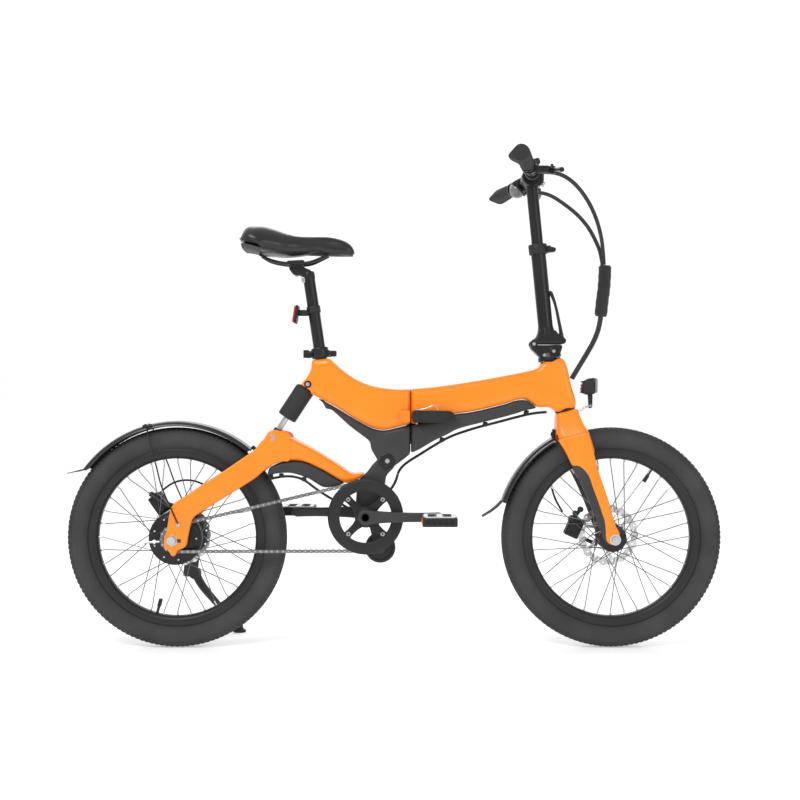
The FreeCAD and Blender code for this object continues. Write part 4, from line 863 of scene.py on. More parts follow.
def swingarm():
    """A solid front part round the shock's lower eye, and a blade down each side of the rear wheel."""
    crest = [(-296, 482), (-287, 496), (-278, 500.6), (-263, 497.6), (-248, 490), (-220, 475), (-180, 453),
             (-139, 428), (-113, 410), (-100, 402), (-90, 400.5), (-66, 402)]
    waist = [(-66, 402), (-84, 385), (-100, 378.5), (-113, 379), (-133, 390), (-163, 408), (-200, 425.5),
             (-220, 430.5), (-237, 430.5), (-260, 427.5), (-284, 418)]
    wheel_side = [(-284, 418), (-288, 432), (-295, 450), (-302, 470), (-296, 482)]

    def outer(x):
        return 31 + 15.5 * smooth((-185 - x) / 70) + max(0, -255 - x) * 0.126

    yoke = plate_piece("swingarm_yoke", [crest, waist, wheel_side], 32, 11, orange_paint(), "swingarm",
                              "swingarm", width=lambda x, z: outer(x) / 32, step=4, soften=2)
    bm = bmesh.new()
    block(bm, (-345, -13, 458), (-232, 13, 560), 3)
    direction = (EYE_TOP - EYE_LOW).normalized()
    rod(bm, EYE_LOW / MM + direction * 14, EYE_LOW / MM + direction * 150, 27, 48)
    carve(yoke, cutter(bm))
    wheel_room(yoke, REAR_HUB, 276, 31)

    back = [(-296, 482), (-307, 474), (-319, 458), (-340, 442), (-399, 402), (-434, 380), (-474, 353), (-509, 330),
            (-518, 313), (-523, 287), (-527, 262), (-532, 254)]
    dropout = [(-532, 254), (-532, 228), (-522, 222), (-518, 212), (-512, 206), (-506, 209), (-502, 220),
               (-488, 226), (-480, 234), (-477, 252)]
    belly = [(-477, 252), (-472, 275), (-469, 289), (-463, 298), (-452, 307), (-399, 340), (-351, 369), (-319, 390),
             (-300, 407), (-284, 418)]
    nose = [(-284, 418), (-262, 427), (-240, 431), (-240, 486), (-263, 497), (-278, 500), (-287, 495), (-296, 482)]
    for side in (-1, 1):
        blade("swingarm_blade_%s" % ("left" if side > 0 else "right"), [back, dropout, belly, nose], 6.4, 4.6,
              orange_paint(), "swingarm", side, lambda x: 40 - 0.1263 * (x + 250))
    under = [[(-284, 416), (-262, 425), (-237, 429), (-220, 429), (-200, 424), (-163, 406.5), (-133, 388.5),
              (-113, 378)], [(-113, 378), (-138, 370), (-161, 369), (-170, 373), (-192, 387), (-210, 395),
                             (-237, 402.5), (-266, 401.5), (-290, 396)], [(-290, 396), (-284, 416)]]
    piece = plate_piece("swingarm_under_cover", under, 30, 7, dark_casting(), "swingarm", "swingarm_panels",
                        width=lambda x, z: (outer(x) - 2.5) / 30, step=4)
    wheel_room(piece, REAR_HUB, 276, 31)

    bm = bmesh.new()
    for side in (-1, 1):
        for x, z, y, r in ((-277.5, 484, outer(-277.5) - 1, 8.5), (-485, 289, 77.5, 5.5)):
            lathe(bm, [(r * 0.45, -1), (r, -1), (r, 1.6), (r * 0.9, 2.6), (r * 0.45, 2.6), (r * 0.4, 1)],
                  (x, side * y, z), (0, side, 0), 40)
            across(bm, x, z, r * 0.46, side * y - 1.5, side * y + 1.2, 6)
        lathe(bm, [(6, 0), (13, 0), (13, 1.6), (6, 1.6)], (-500, side * 78.5, 253), (0, side, 0), 48)
        lathe(bm, [(6, 0), (10.5, 0), (10.5, 5.4), (9.6, 6.6), (6, 6.6)], (-500, side * 80, 253), (0, side, 0), 40)
        rod(bm, (-560, side * 71.5, 248), (-528, side * 71.5, 250), 2.6, 16)
        hex_head(bm, (-560, side * 71.5, 248), 4.4, 4, (-1, 0, -0.06))
        rod(bm, (-542, side * 71.5, 249.1), (-537, side * 71.5, 249.4), 5.2, 6)
    rod(bm, (-500, -86, 253), (-500, 86, 253), 5.8, 24)
    rod(bm, (-277.5, -45, 484), (-277.5, 45, 484), 3.9, 24)
    rod(bm, (-32, -20, 229), (-32, 20, 229), 4, 24)
    for side in (-1, 1):
        hex_head(bm, (-32, side * 20, 229), 6, 4, (0, side, 0))
    add("swingarm_bolts", bm, steel(), "swingarm", "swingarm_axles")
    bm = bmesh.new()
    block(bm, (-496, 70.5, 150), (-462, 76, 236), 3, 6)
    lathe(bm, [(0.1, 0), (13, 0), (13, 7), (0.1, 7)], (-473, 69.8, 158), (0, 1, 0), 40)
    block(bm, (-490, -79.4, 248.5), (-479, -76, 256.5), 2)
    add("kickstand_lug", bm, dark_casting(), "swingarm")


def bottom_bracket():
    """The dark arm from the pivot down to the cranks' shell, with the little roller's stay below it."""
    rear = [(-51, 419), (-62.5, 403), (-79, 388), (-84, 378), (-86, 360), (-88, 335), (-88, 304)]
    low = [(-88, 304), (-84, 290), (-76, 283), (-64, 280), (-52, 282), (-44, 290), (-41, 304)]
    fore = [(-41, 304), (-34, 330), (-26, 355), (-21, 375), (-18, 394), (-11, 403), (1, 415), (3, 424)]
    arc = [(3, 424), (4, 434), (-3, 446), (-15, 449.5), (-28, 446), (-36, 434), (-51, 419)]
    plate_piece("pivot_arm", [rear, low, fore, arc], 20.5, 7, dark_casting(), "swingarm", "bottom_bracket", step=4)
    bm = bmesh.new()
    lathe(bm, band(10.5, 19, 21.5, 34, 2), CRANK_AXIS, (0, 1, 0), 64)
    for side in (-1, 1):
        plate(bm, [[(-60, 292), (-38, 292)], [(-38, 292), (-24, 240), (-20, 229)],
                   [(-20, 229), (-23, 219), (-32, 216), (-41, 219), (-44, 229)], [(-44, 229), (-60, 292)]],
              2.8, 1.2, side * 16.8)
    add("roller_stay", bm, dark_casting(), "swingarm")
    bm = bmesh.new()
    lathe(bm, [(4.1, -11), (13, -11), (14, -9), (27, -8), (29, -10.5), (33, -10), (35, -7), (35, -1.4), (34, 0),
               (35, 1.4), (35, 7), (33, 10), (29, 10.5), (27, 8), (14, 9), (13, 11), (4.1, 11)], (-32, 0, 229),
          (0, 1, 0), 72)
    add("transport_wheel", bm, rubber(), "roller", "transport_roller")


def fork():
    """Crown and two blades in paint, each blade with a dark inner strip on its rear edge."""
    crown = [[(373, 537.5), (418, 550)], [(418, 550), (425, 536), (433, 515), (444, 496), (453, 467), (458, 448)],
             [(458, 448), (425, 440), (401, 433)],
             [(401, 433), (392, 451), (381, 471), (373, 484), (372, 499), (373, 520), (373, 537.5)]]

    def centre(x):
        return 39 + 0.1495 * (x - 385)

    def girth(x, z):
        drop = (548 - z) + 0.28 * (x - 419)
        return (27.5 + (centre(x) + 6.6 - 27.5) * smooth((drop - 4) / 78)) / 45

    top = plate_piece("fork_crown", crown, 45, 13, orange_paint(), "steering", "fork", width=girth, step=4, soften=2)
    wheel_room(top, FRONT_HUB, 268, 32.5)
    rear = [(375, 478), (392, 451), (408.5, 415), (431, 371), (453, 321), (471, 273), (482, 246)]
    foot = [(482, 246), (489, 239), (500, 236.5), (511, 241), (516, 252), (516, 265)]
    fore = [(516, 265), (508, 279), (503, 293), (490, 340), (469, 403), (461, 435), (453, 467), (444, 497)]
    paint_rear = [(375, 478), (392, 451), (402, 430), (409, 417), (419, 418.5), (431, 412), (445, 395), (455, 366),
                  (466, 337), (475, 310), (481, 292), (483, 270), (484, 250)]

    for side in (-1, 1):
        hand = "left" if side > 0 else "right"
        blade("fork_blade_" + hand, [paint_rear, [(484, 250), (489, 241), (500, 236.5), (511, 241), (516, 252),
                                                  (516, 265)], fore, [(444, 497), (375, 478)]],
              6.5, 5, orange_paint(), "steering", side, centre, drawn_in=0.5)
        blade("fork_inner_strip_" + hand, [rear, foot, fore, [(444, 497), (375, 478)]], 5.2, 2.4, dark_casting(),
              "steering", side, lambda x: centre(x) - 1.0, drawn_in=0.5)
    bm = bmesh.new()
    lathe(bm, [(0.1, -22), (20, -22), (21.5, -8), (22, -2.4), (21, -1.4), (14.2, -1.2), (14.2, 150), (0.1, 150)],
          HEAD_FOOT, HEAD_AXIS, 64)
    add("steerer", bm, black_anodised(), "steering")
    bm = bmesh.new()
    for side in (-1, 1):
        lathe(bm, [(5, 0), (12.5, 0), (12.5, 1.4), (5, 1.4)], (500, side * 63.2, 253), (0, side, 0), 48)
        hex_head(bm, (500, side * 64.5, 253), 8.4, 6, (0, side, 0))
        lathe(bm, [(0.1, 0), (3.4, 0), (3, 2.4), (0.1, 2.6)], (500, side * 70.4, 253), (0, side, 0), 24)
    rod(bm, (500, -66, 253), (500, 66, 253), 4.95, 24)
    add("front_axle_and_nuts", bm, steel(), "steering", "front_axle")


# Drive

def chain_line():
    """Both pitch radii, the slope between the axes, the angle of the straight runs to it, and their length."""
    big, small = (CHAIN_PITCH / (2 * math.sin(math.pi / teeth)) for teeth in (RING_TEETH, SPROCKET_TEETH))
    dx, dz = CRANK_AXIS[0] - REAR_HUB[0], CRANK_AXIS[2] - REAR_HUB[2]
    reach = math.hypot(dx, dz)
    return big, small, math.atan2(dz, dx), math.asin((big - small) / reach), math.sqrt(reach**2 - (big - small)**2)


def chain():
    """Every link of the closed chain: waisted plates, rollers and riveted pins, on the path of the CAD rollers."""
    pitch, y = CHAIN_PITCH, CHAIN_Y
    centre_a, centre_b = (REAR_HUB[0], REAR_HUB[2]), (CRANK_AXIS[0], CRANK_AXIS[2])
    big, small, tilt, flare, run = chain_line()
    arcs = (RING_TEETH * (math.pi + 2 * flare) / (2 * math.pi),
            SPROCKET_TEETH * (math.pi - 2 * flare) / (2 * math.pi))
    count = round(2 * run / pitch + sum(arcs))
    up, down = tilt + math.pi / 2 + flare, tilt - math.pi / 2 - flare

    def place(centre, r, a, s=0.0):
        return (centre[0] + r * math.cos(a) + s * math.cos(a - math.pi / 2),
                centre[1] + r * math.sin(a) + s * math.sin(a - math.pi / 2))

    def at(u):
        if u * pitch < run:
            return place(centre_a, small, up, u * pitch)
        u -= run / pitch
        if u < arcs[0]:
            return place(centre_b, big, up - 2 * math.pi * u / RING_TEETH)
        u -= arcs[0]
        if u * pitch < run:
            return place(centre_b, big, down, u * pitch)
        u -= run / pitch
        return place(centre_a, small, down - 2 * math.pi * u / SPROCKET_TEETH)

    pins = [at(u) for u in range(count)]
    plates, barrels = bmesh.new(), bmesh.new()
    for i, (a, b) in enumerate(zip(pins, pins[1:] + pins[:1])):
        length = math.hypot(b[0] - a[0], b[1] - a[1])
        heading = math.atan2(b[1] - a[1], b[0] - a[0])
        loop = []
        for k in range(28):
            turn = 2 * math.pi * k / 28
            loop.append((math.copysign(length / 2, math.cos(turn)) + 4.1 * math.cos(turn), 4.1 * math.sin(turn)))
        shape = []
        for k, (px, pz) in enumerate(loop):
            shape.append((px, pz))
            nx = loop[(k + 1) % len(loop)][0]
            if px * nx < 0:
                shape.append(((px + nx) / 2, math.copysign(2.9, pz)))
        outer = i % 2
        for side in (-1, 1):
            inner_y = y + side * (3.05 if outer else 2.0)
            skin(plates, [[plates.verts.new(((a[0] + b[0]) / 2 + px * math.cos(heading) - pz * math.sin(heading),
                                             inner_y + offset,
                                             (a[1] + b[1]) / 2 + px * math.sin(heading) + pz * math.cos(heading)))
                           for px, pz in shape] for offset in (0, side * 0.9)])
        across(barrels, a[0], a[1], 3.5, y - 1.9, y + 1.9, 12)
        across(barrels, a[0], a[1], 1.7, y - 4.4, y + 4.4, 10)
    add("chain_plates", plates, dark_steel(), "swingarm", "chain")
    add("chain_rollers", barrels, steel(), "swingarm")


def toothed(bm, centre, teeth, pitch_radius, bore, phase):
    """A sprocket: rounded gaps between pointed teeth, as a flat ring about its bore."""
    count, thick = teeth * 10, 2.4
    loops = {"outer": [], "inner": []}
    for i in range(count):
        a = 2 * math.pi * i / count + phase
        u = (i % 10) / 10
        r = pitch_radius - 3.6 + 6 * smooth(1 - abs(2 * u - 1))
        loops["outer"].append((centre[0] + r * math.cos(a), centre[2] + r * math.sin(a)))
        loops["inner"].append((centre[0] + bore * math.cos(a), centre[2] + bore * math.sin(a)))
    rings = [[bm.verts.new((p[0], CHAIN_Y + side * thick / 2, p[1])) for p in loops[which]]
             for which, side in (("outer", -1), ("outer", 1), ("inner", 1), ("inner", -1))]
    skin(bm, rings + rings[:1], False)


def drive():
    """The chain, the sprockets whose teeth stand between its rollers, and the chainring's guard and spider."""
    chain()
    big, small, tilt, flare, run = chain_line()
    up = tilt + math.pi / 2 + flare
    first = math.ceil(run / CHAIN_PITCH) - run / CHAIN_PITCH
    bm = bmesh.new()
    toothed(bm, CRANK_AXIS, RING_TEETH, big, 61, up - 2 * math.pi * first / RING_TEETH)
    add("ring_teeth", bm, dark_steel(), "cranks", "chainring")
    bm = bmesh.new()
    toothed(bm, REAR_HUB, SPROCKET_TEETH, small, 16, up)
    lathe(bm, [(6.3, -7), (19, -7), (20.5, -5.5), (20.5, 6), (19, 7), (6.3, 7)], (REAR_HUB[0], CHAIN_Y, REAR_HUB[2]),
          (0, 1, 0), 48)
    for x, z in ring_of(REAR_HUB, 15, 4):
        across(bm, x, z, 1.8, -53.6, -52.5, 12)
    add("freewheel_sprocket", bm, dark_steel(), "freewheel", "freewheel")
    # The guard ring is a moulded dish with a lip, over four broad spider arms with a bolt each.
    bm = bmesh.new()
    lathe(bm, [(59, -2), (62, -3.2), (80, -3.2), (84, -2.2), (86, 0), (85.6, 1.6), (83, 1.2), (80, -0.6), (62, -0.6),
               (59, 0.6)], (-64.6, -52, 304.5), (0, 1, 0), 120)
    lathe(bm, [(10.2, -8), (18, -8), (23, -4), (25, 0), (25, 2), (10.2, 2)], (-64.6, -52, 304.5), (0, 1, 0), 64)
    add("guard_ring", bm, black_plastic(), "cranks")
    bm = bmesh.new()
    for i in range(4):
        a = math.radians(45 + 90 * i)
        out = Vector((math.cos(a), 0, math.sin(a)))
        flank = Vector((-math.sin(a), 0, math.cos(a)))
        middle = Vector(CRANK_AXIS)
        loop = [middle + out * r + flank * w for r, w in ((16, 13), (34, 8.5), (52, 8), (60, 10), (63, 4), (63, -4),
                                                          (60, -10), (52, -8), (34, -8.5), (16, -13))]
        plate(bm, closed(*[(p.x, p.z) for p in loop]), 2.6, 1.4, -51.5)
    add("spider", bm, black_anodised(), "cranks")
    bm = bmesh.new()
    for x, z in ring_of(CRANK_AXIS, 55, 4, 45):
        lathe(bm, [(2.2, 0), (5, 0), (5, 1.4), (4, 2.4), (2.6, 2.4), (2.0, 0.8)], (x, -55, z), (0, -1, 0), 32)
    add("spider_bolts", bm, steel(), "cranks")


def cranks():
    """Forged arms that swell at both ends, on a square spindle with a capped bolt, and the two pedals."""
    for side, way in ((-1, 1), (1, -1)):
        hand = "right" if side < 0 else "left"
        x0, z0 = CRANK_AXIS[0], CRANK_AXIS[2]
        tip = x0 + way * 165
        top = [(x0 + way * 2, z0 + 18), (x0 + way * 20, z0 + 15), (x0 + way * 50, z0 + 12.5),
               (x0 + way * 110, z0 + 10.5), (tip - way * 8, z0 + 11)]
        nose = [(tip - way * 8, z0 + 11), (tip + way * 2, z0 + 11.5), (tip + way * 10, z0 + 7),
                (tip + way * 13, z0), (tip + way * 10, z0 - 7), (tip + way * 2, z0 - 11.5), (tip - way * 8, z0 - 11)]
        low = [(x, 2 * z0 - z) for x, z in top[::-1]]
        heel = [(x0 + way * 2, z0 - 18), (x0 - way * 10, z0 - 15), (x0 - way * 18, z0), (x0 - way * 10, z0 + 15),
                (x0 + way * 2, z0 + 18)]
        bm = bmesh.new()
        plate(bm, [top, nose, low, heel], 7.5, 4.5, side * 66.5)
        for v in bm.verts:
            reach = abs(v.co.x - x0)
            v.co.y += side * 3 * smooth((reach - 20) / 100)
        lathe(bm, [(10.4, -20), (16, -20), (17.5, -10), (17.5, 4), (10.4, 4)], (x0, side * 62, z0), (0, side, 0), 48)
        stands = ("crankset",) if side < 0 else ()
        add("crank_arm_" + hand, bm, dark_casting(), "cranks", *stands)
        bm = bmesh.new()
        lathe(bm, [(0.1, 0), (9, 0), (10.5, 1), (10.5, 2.4), (9.8, 3), (8.4, 3), (8, 1.6), (0.1, 1.6)],
              (x0, side * 72.4, z0), (0, side, 0), 48)
        add("crank_cap_" + hand, bm, black_plastic(), "cranks")
        bm = bmesh.new()
        hex_head(bm, (tip, side * 78.5, z0), 8.2, 3.5, (0, side, 0))
        rod(bm, (tip, side * 80, z0), (tip, side * 175, z0), 5, 24)
        add("pedal_axle_" + hand, bm, steel(), "pedal_" + hand)
        bm = bmesh.new()
        low_y, high_y = sorted((side * 86, side * 181))
        block(bm, (tip - 38.5, low_y, z0 - 11), (tip + 38.5, high_y, z0 + 9), 3.5)
        cage = add("pedal_cage_" + hand, bm, black_plastic(), "pedal_" + hand, "pedal_" + hand)
        bm = bmesh.new()
        for x_side in (-1, 1):
            for k in range(3):
                y = side * (106 + 27.5 * k)
                x = tip + x_side * 20.5
                block(bm, (x - 10, y - 11, z0 - 30), (x + 10, y + 11, z0 + 30), 2)
        for k in range(5):
            x = tip - 26 + 13 * k
            block(bm, (x - 4, side * 181 - 3, z0 - 5), (x + 4, side * 181 + 3, z0 + 4))
        carve(cage, cutter(bm))
        bm = bmesh.new()
        for x_side in (-1, 1):
            x = tip + x_side * 37.6
            block(bm, (x - 2, side * 134 - 24, z0 - 6.5), (x + 2, side * 134 + 24, z0 + 4.5), 1)
            left, right = (x - 5, x + 1) if x_side > 0 else (x - 1, x + 5)
            block(bm, (left, side * 178 - 1.5, z0 - 8), (right, side * 178 + 3.6, z0 + 6), 0.8)
        add("pedal_reflectors_" + hand, bm, amber(), "pedal_" + hand)
        bm = bmesh.new()
        loop = outline([[(tip - 34, side * 92), (tip + 34, side * 92)], [(tip + 34, side * 92), (tip + 35, side * 172),
                        (tip + 26, side * 178)], [(tip + 26, side * 178), (tip - 26, side * 178)],
                        [(tip - 26, side * 178), (tip - 35, side * 172), (tip - 34, side * 92)]], 4, 2)
        skin(bm, [[bm.verts.new((p.x, p.y, z)) for p in loop] for z in (z0 + 8.6, z0 + 10.6)])
        tread = add("pedal_plate_" + hand, bm, alloy(), "pedal_" + hand)
        bm = bmesh.new()
        for x_side in (-1, 1):
            x = tip + x_side * 16
            block(bm, (x - 10, side * 133 - 34, z0), (x + 10, side * 133 + 34, z0 + 30), 4)
        carve(tread, cutter(bm))


def shock():
    """Rubber-booted spring unit: ribbed boot and top cap on the frame's eye, rod and lower eye on the swingarm's."""
    axis = (EYE_LOW - EYE_TOP).normalized()
    top, low = EYE_TOP / MM, EYE_LOW / MM
    bm = bmesh.new()
    profile = [(0.1, 9), (14, 9), (20, 12), (22.5, 15), (22.8, 22)]
    for k in range(12):
        d = 24 + 5.2 * k
        profile += [(22.8, d), (22.9, d + 1.5), (22.2, d + 3.0), (22.2, d + 3.6)]
    profile += [(22.8, 88), (21.5, 91), (17, 92), (0.1, 92)]
    lathe(bm, profile, top, axis, 64)
    add("shock_boot", bm, rubber(), "shock_body", "shock_body")
    bm = bmesh.new()
    lathe(bm, band(4.4, 10.6, 11, 11.8, 0.8), top, (0, 1, 0), 48)
    rod(bm, top + axis * 6, top + axis * 14, 10, 32)
    add("shock_top_eye", bm, black_anodised(), "shock_body")
    bm = bmesh.new()
    rod(bm, low - axis * 62, low - axis * 8, 6.9, 40)
    add("shock_rod", bm, steel(), "shock_shaft", "shock_shaft")
    bm = bmesh.new()
    lathe(bm, band(4.4, 10.6, 11, 11.8, 0.8), low, (0, 1, 0), 48)
    lathe(bm, [(0.1, 8), (9.5, 8), (10.5, 10), (10.5, 18), (9, 21), (0.1, 21)], low, -axis, 48)
    add("shock_low_eye", bm, black_anodised(), "shock_shaft")


def guard_strip(name, centre, radius, start, end, body, *stands_for):
    """A mudguard: a thin curved section swept round the tyre, with rolled edges."""
    half = 28
    right = [(radius - 9.5, -half), (radius - 7, -half + 0.6), (radius - 2.4, -half * 0.78),
             (radius - 0.4, -half * 0.45)]
    upper = right + [(radius + 1, 0)] + [(r, -y) for r, y in right[::-1]]
    lower = [(r - 1.7, y * 0.965) for r, y in upper[::-1]]
    bm = bmesh.new()
    lathe(bm, upper + lower, centre, (0, 1, 0), 72, start, end - start)
    add(name, bm, gloss_black(), body, *stands_for)


def mudguards():
    """Both strips with their rubber flaps, and the stays and brackets that hold them."""
    guard_strip("rear_guard", REAR_HUB, 267, -53, 40, "swingarm", "rear_mudguard")
    guard_strip("front_guard", FRONT_HUB, 267, -72, -31, "steering", "front_mudguard")
    for name, body, points in (
            ("rear_flap", "swingarm", [(-707, 416), (-716, 410), (-730, 406), (-751, 400.5)]),
            ("front_flap", "steering", [(247, 338), (238, 328), (222, 314), (203, 301)])):
        line = curve_through([(x, 0, z) for x, z in points], 4)
        bm = bmesh.new()
        rings = []
        for i, p in enumerate(line):
            u = i / (len(line) - 1)
            half = 24 - 6 * u * u
            rings.append([bm.verts.new((p.x, y, p.z + lift - 4 * (y / 24)**2 * (1 - u)))
                          for lift, ys in ((0.9, (-half, -half / 2, 0, half / 2, half)),
                                           (-0.9, (half, half / 2, 0, -half / 2, -half))) for y in ys])
        skin(bm, rings)
        add(name, bm, rubber(), body)
    bm = bmesh.new()
    for side in (-1, 1):
        wire(bm, [(-566, side * 25, 509), (-560, side * 40, 490), (-536, side * 68, 420), (-520, side * 80, 370),
                  (-485, side * 82, 291)], 8, 1.7, 10)
        block(bm, (-576, side * 22 - 6, 503), (-552, side * 22 + 6, 512), 1.5)
        for dx in (-6, 6):
            hex_head(bm, (-564 + dx, side * 20, 511), 3.4, 3, (-0.26, 0, 0.96))
    add("rear_guard_stays", bm, black_anodised(), "swingarm")
    bm = bmesh.new()
    block(bm, (-330, -9, 452), (-312, 9, 460), 2, 40)
    block(bm, (-312, -11, 448), (-303, 11, 462), 2, 40)
    add("rear_guard_bracket", bm, black_anodised(), "swingarm")
    bm = bmesh.new()
    plate(bm, closed((362, 470), (371, 473), (371.5, 502), (365, 503)), 8, 1.4)
    hex_head(bm, (365.5, 0, 490), 5, 4, (-1, 0, 0.15))
    add("front_guard_bracket", bm, black_anodised(), "steering")


def calliper(name, body, x, z, turn, y, mount, *stands_for):
    """A two-part brake calliper over its disc, with arm, barrel, pad screws and a bracket to the frame."""
    bm = bmesh.new()
    for low, high in ((-15, -3), (3, 14)):
        block(bm, (x - 17, y + low, z - 24), (x + 17, y + high, z + 24), 4, turn)
    turned_up = Matrix.Rotation(math.radians(turn), 3, "Y")
    centre = Vector((x, y, z))
    for offset in (-15, 15):
        base = centre + turned_up @ Vector((0, 0, offset))
        rod(bm, base + Vector((0, 17, 0)), base - Vector((0, 18, 0)), 4.2, 20)
    block(bm, (x - 13, y - 12, z + 12), (x - 3, y + 12, z + 26), 3, turn)
    rod(bm, centre + Vector((0, 14, 0)), centre + Vector((0, 21, 0)), 11, 32)
    arm_end = centre + Vector((0, 18, 0)) + turned_up @ Vector((-8, 0, 30))
    rod(bm, centre + Vector((0, 18, 0)), arm_end, 4.4, 16)
    rod(bm, arm_end - Vector((0, 5, 0)), arm_end + Vector((0, 5, 0)), 6, 24)
    add(name, bm, black_anodised(), body, *stands_for)
    bm = bmesh.new()
    for a, b in mount:
        rod(bm, a, b, 4.6, 16)
        rod(bm, Vector(a) - Vector((0, 6, 0)), Vector(a) + Vector((0, 6, 0)), 6.5, 24)
    add(name + "_bracket", bm, dark_casting(), body)


def kickstand():
    """Curved leg with a broad foot, hung on the left dropout's lug."""
    hub, foot = Vector((-473, 84, 158)), Vector((-380, 178, 0))
    line = curve_through([hub, hub + Vector((16, 12, -34)), hub + Vector((52, 50, -90)),
                          foot + Vector((-6, -4, 12))], 4)
    bm = bmesh.new()
    tube_mesh(bm, [p * MM for p in line], 8.5 * MM, 20, lambda i, n: 1.25 - 0.5 * i / n)
    bmesh.ops.scale(bm, vec=(1 / MM,) * 3, verts=bm.verts)
    lathe(bm, [(0.1, -7), (13, -7), (14, -5), (14, 5), (13, 7), (0.1, 7)], hub, (-0.252538, 0.967587, 0), 48)
    add("kickstand_leg", bm, dark_casting(), "kickstand", "kickstand")
    bm = bmesh.new()
    lathe(bm, [(0.1, 0), (15, 0), (16, 1.5), (15, 5), (9, 9), (8, 18), (0.1, 20)], foot, (0, 0, 1), 40)
    add("kickstand_foot", bm, rubber(), "kickstand")


# Handlepost and bars

def handlepost():
    """The clamp on the steerer, the hinge above it, and the two tubes that slide under a collar."""
    axis, foot = POST_AXIS, Vector((352.5, 0, 708))
    bm = bmesh.new()
    lathe(bm, [(14.6, 0), (26, 0), (27.5, 2), (27, 8), (23, 13), (21.5, 20), (21.5, 26), (14.6, 26)],
          HEAD_FOOT + HEAD_AXIS * 122.5, HEAD_AXIS, 64)
    add("post_clamp", bm, black_anodised(), "steering", "steerer_clamp")
    bm = bmesh.new()
    plate(bm, [[(313, 688), (316, 694.6), (330, 695), (350, 695), (386, 695), (385, 685)],
               [(385, 685), (380, 668)], [(380, 668), (347, 660)], [(347, 660), (334, 668), (322, 680),
                                                                    (313, 688)]], 19, 5)
    for side in (-1, 1):
        lathe(bm, [(4, 0), (8.2, 0), (8.8, 1), (8.8, 8), (8.2, 9), (4, 9)], (321, side * 10.2, 697.5),
              (0, side, 0), 32)
    add("post_hinge_base", bm, black_anodised(), "steering")
    bm = bmesh.new()
    rod(bm, (321, -20.5, 697.5), (321, 20.5, 697.5), 3.9, 24)
    hex_head(bm, (366, -19, 681), 4.6, 4, (0, -1, 0))
    hex_head(bm, (345, -19, 672), 4.6, 4, (0, -1, 0))
    add("post_pin", bm, steel(), "steering")
    bm = bmesh.new()
    lathe(bm, [(13.8, 12), (21, 12), (19.5, 20), (18, 26), (17, 32), (17, 200), (13.8, 200)], foot, axis, 64)
    add("post_tube", bm, black_anodised(), "handlepost", "handlepost")
    bm = bmesh.new()
    plate(bm, [[(318, 701), (324, 697.6), (340, 697), (381, 697)], [(381, 697), (394, 699), (395, 708),
               (388, 716), (376, 722)], [(376, 722), (370, 730), (334, 733)],
               [(334, 733), (331, 722), (326, 712), (316, 706), (318, 701)]], 19, 6)
    base = add("post_hinge_top", bm, black_anodised(), "handlepost")
    bm = bmesh.new()
    block(bm, (378, -8.6, 690), (402, 8.6, 740), 1)
    rod(bm, foot, foot + axis * 40, 13.6, 40)
    carve(base, cutter(bm))
    bm = bmesh.new()
    lathe(bm, [(13.8, 198), (20, 198), (21.5, 200), (21.5, 219), (20, 221), (13.8, 221)], foot, axis, 64)
    collar = foot + axis * 210
    block(bm, (collar.x + 14, -9, collar.z - 8), (collar.x + 30, 9, collar.z + 8), 3, -5)
    rod(bm, (collar.x + 26, -14, collar.z), (collar.x + 26, 14, collar.z), 4.5, 24)
    plate(bm, closed((collar.x + 22, collar.z + 7), (collar.x + 40, collar.z + 4), (collar.x + 43, collar.z - 2),
                     (collar.x + 38, collar.z - 7), (collar.x + 22, collar.z - 6)), 7, 2)
    add("post_collar", bm, black_plastic(), "handlepost")
    run = [(386, 704), (391, 712), (388, 730), (384, 748), (378, 776), (371, 802), (365, 818)]
    back = [(365, 818), (360, 822), (357, 816), (363, 806)]
    inner = [(363, 806), (370, 786), (377, 752), (381, 728), (381, 712), (386, 704)]
    bm = bmesh.new()
    plate(bm, [run, back, inner], 7.8, 2.6, soften=1)
    lathe(bm, [(0.1, -8), (6, -8), (6.4, -7), (6.4, 7), (6, 8), (0.1, 8)], (390, 0, 706), (0, 1, 0), 32)
    add("post_lever", bm, black_plastic(), "post_latch", "handlepost_latch")
    bm = bmesh.new()
    rod(bm, foot + axis * 120, foot + axis * 362, 13.4, 64)
    lathe(bm, band(12.8, 20.5, 22, 24, 2), (316, 0, 1082), (0, 1, 0), 64)
    plate(bm, closed((334, 1060), (344, 1070), (344, 1094), (334, 1100), (326, 1096), (326, 1064)), 21, 4)
    add("bar_post", bm, black_anodised(), "bars", "handlepost_extension")
    bm = bmesh.new()
    for dy in (-13, 13):
        for z in (1067, 1094):
            rod(bm, (342, dy, z), (347, dy, z), 3.6, 20)
    add("stem_bolts", bm, steel(), "bars")


def bar_point(y):
    """The middle of the bar at y, in millimetres: straight in the clamp, then swept back."""
    sweep = max(0, abs(y) - 50) / 239
    return Vector((316 - 52 * sweep, y, 1082 + 2 * sweep))


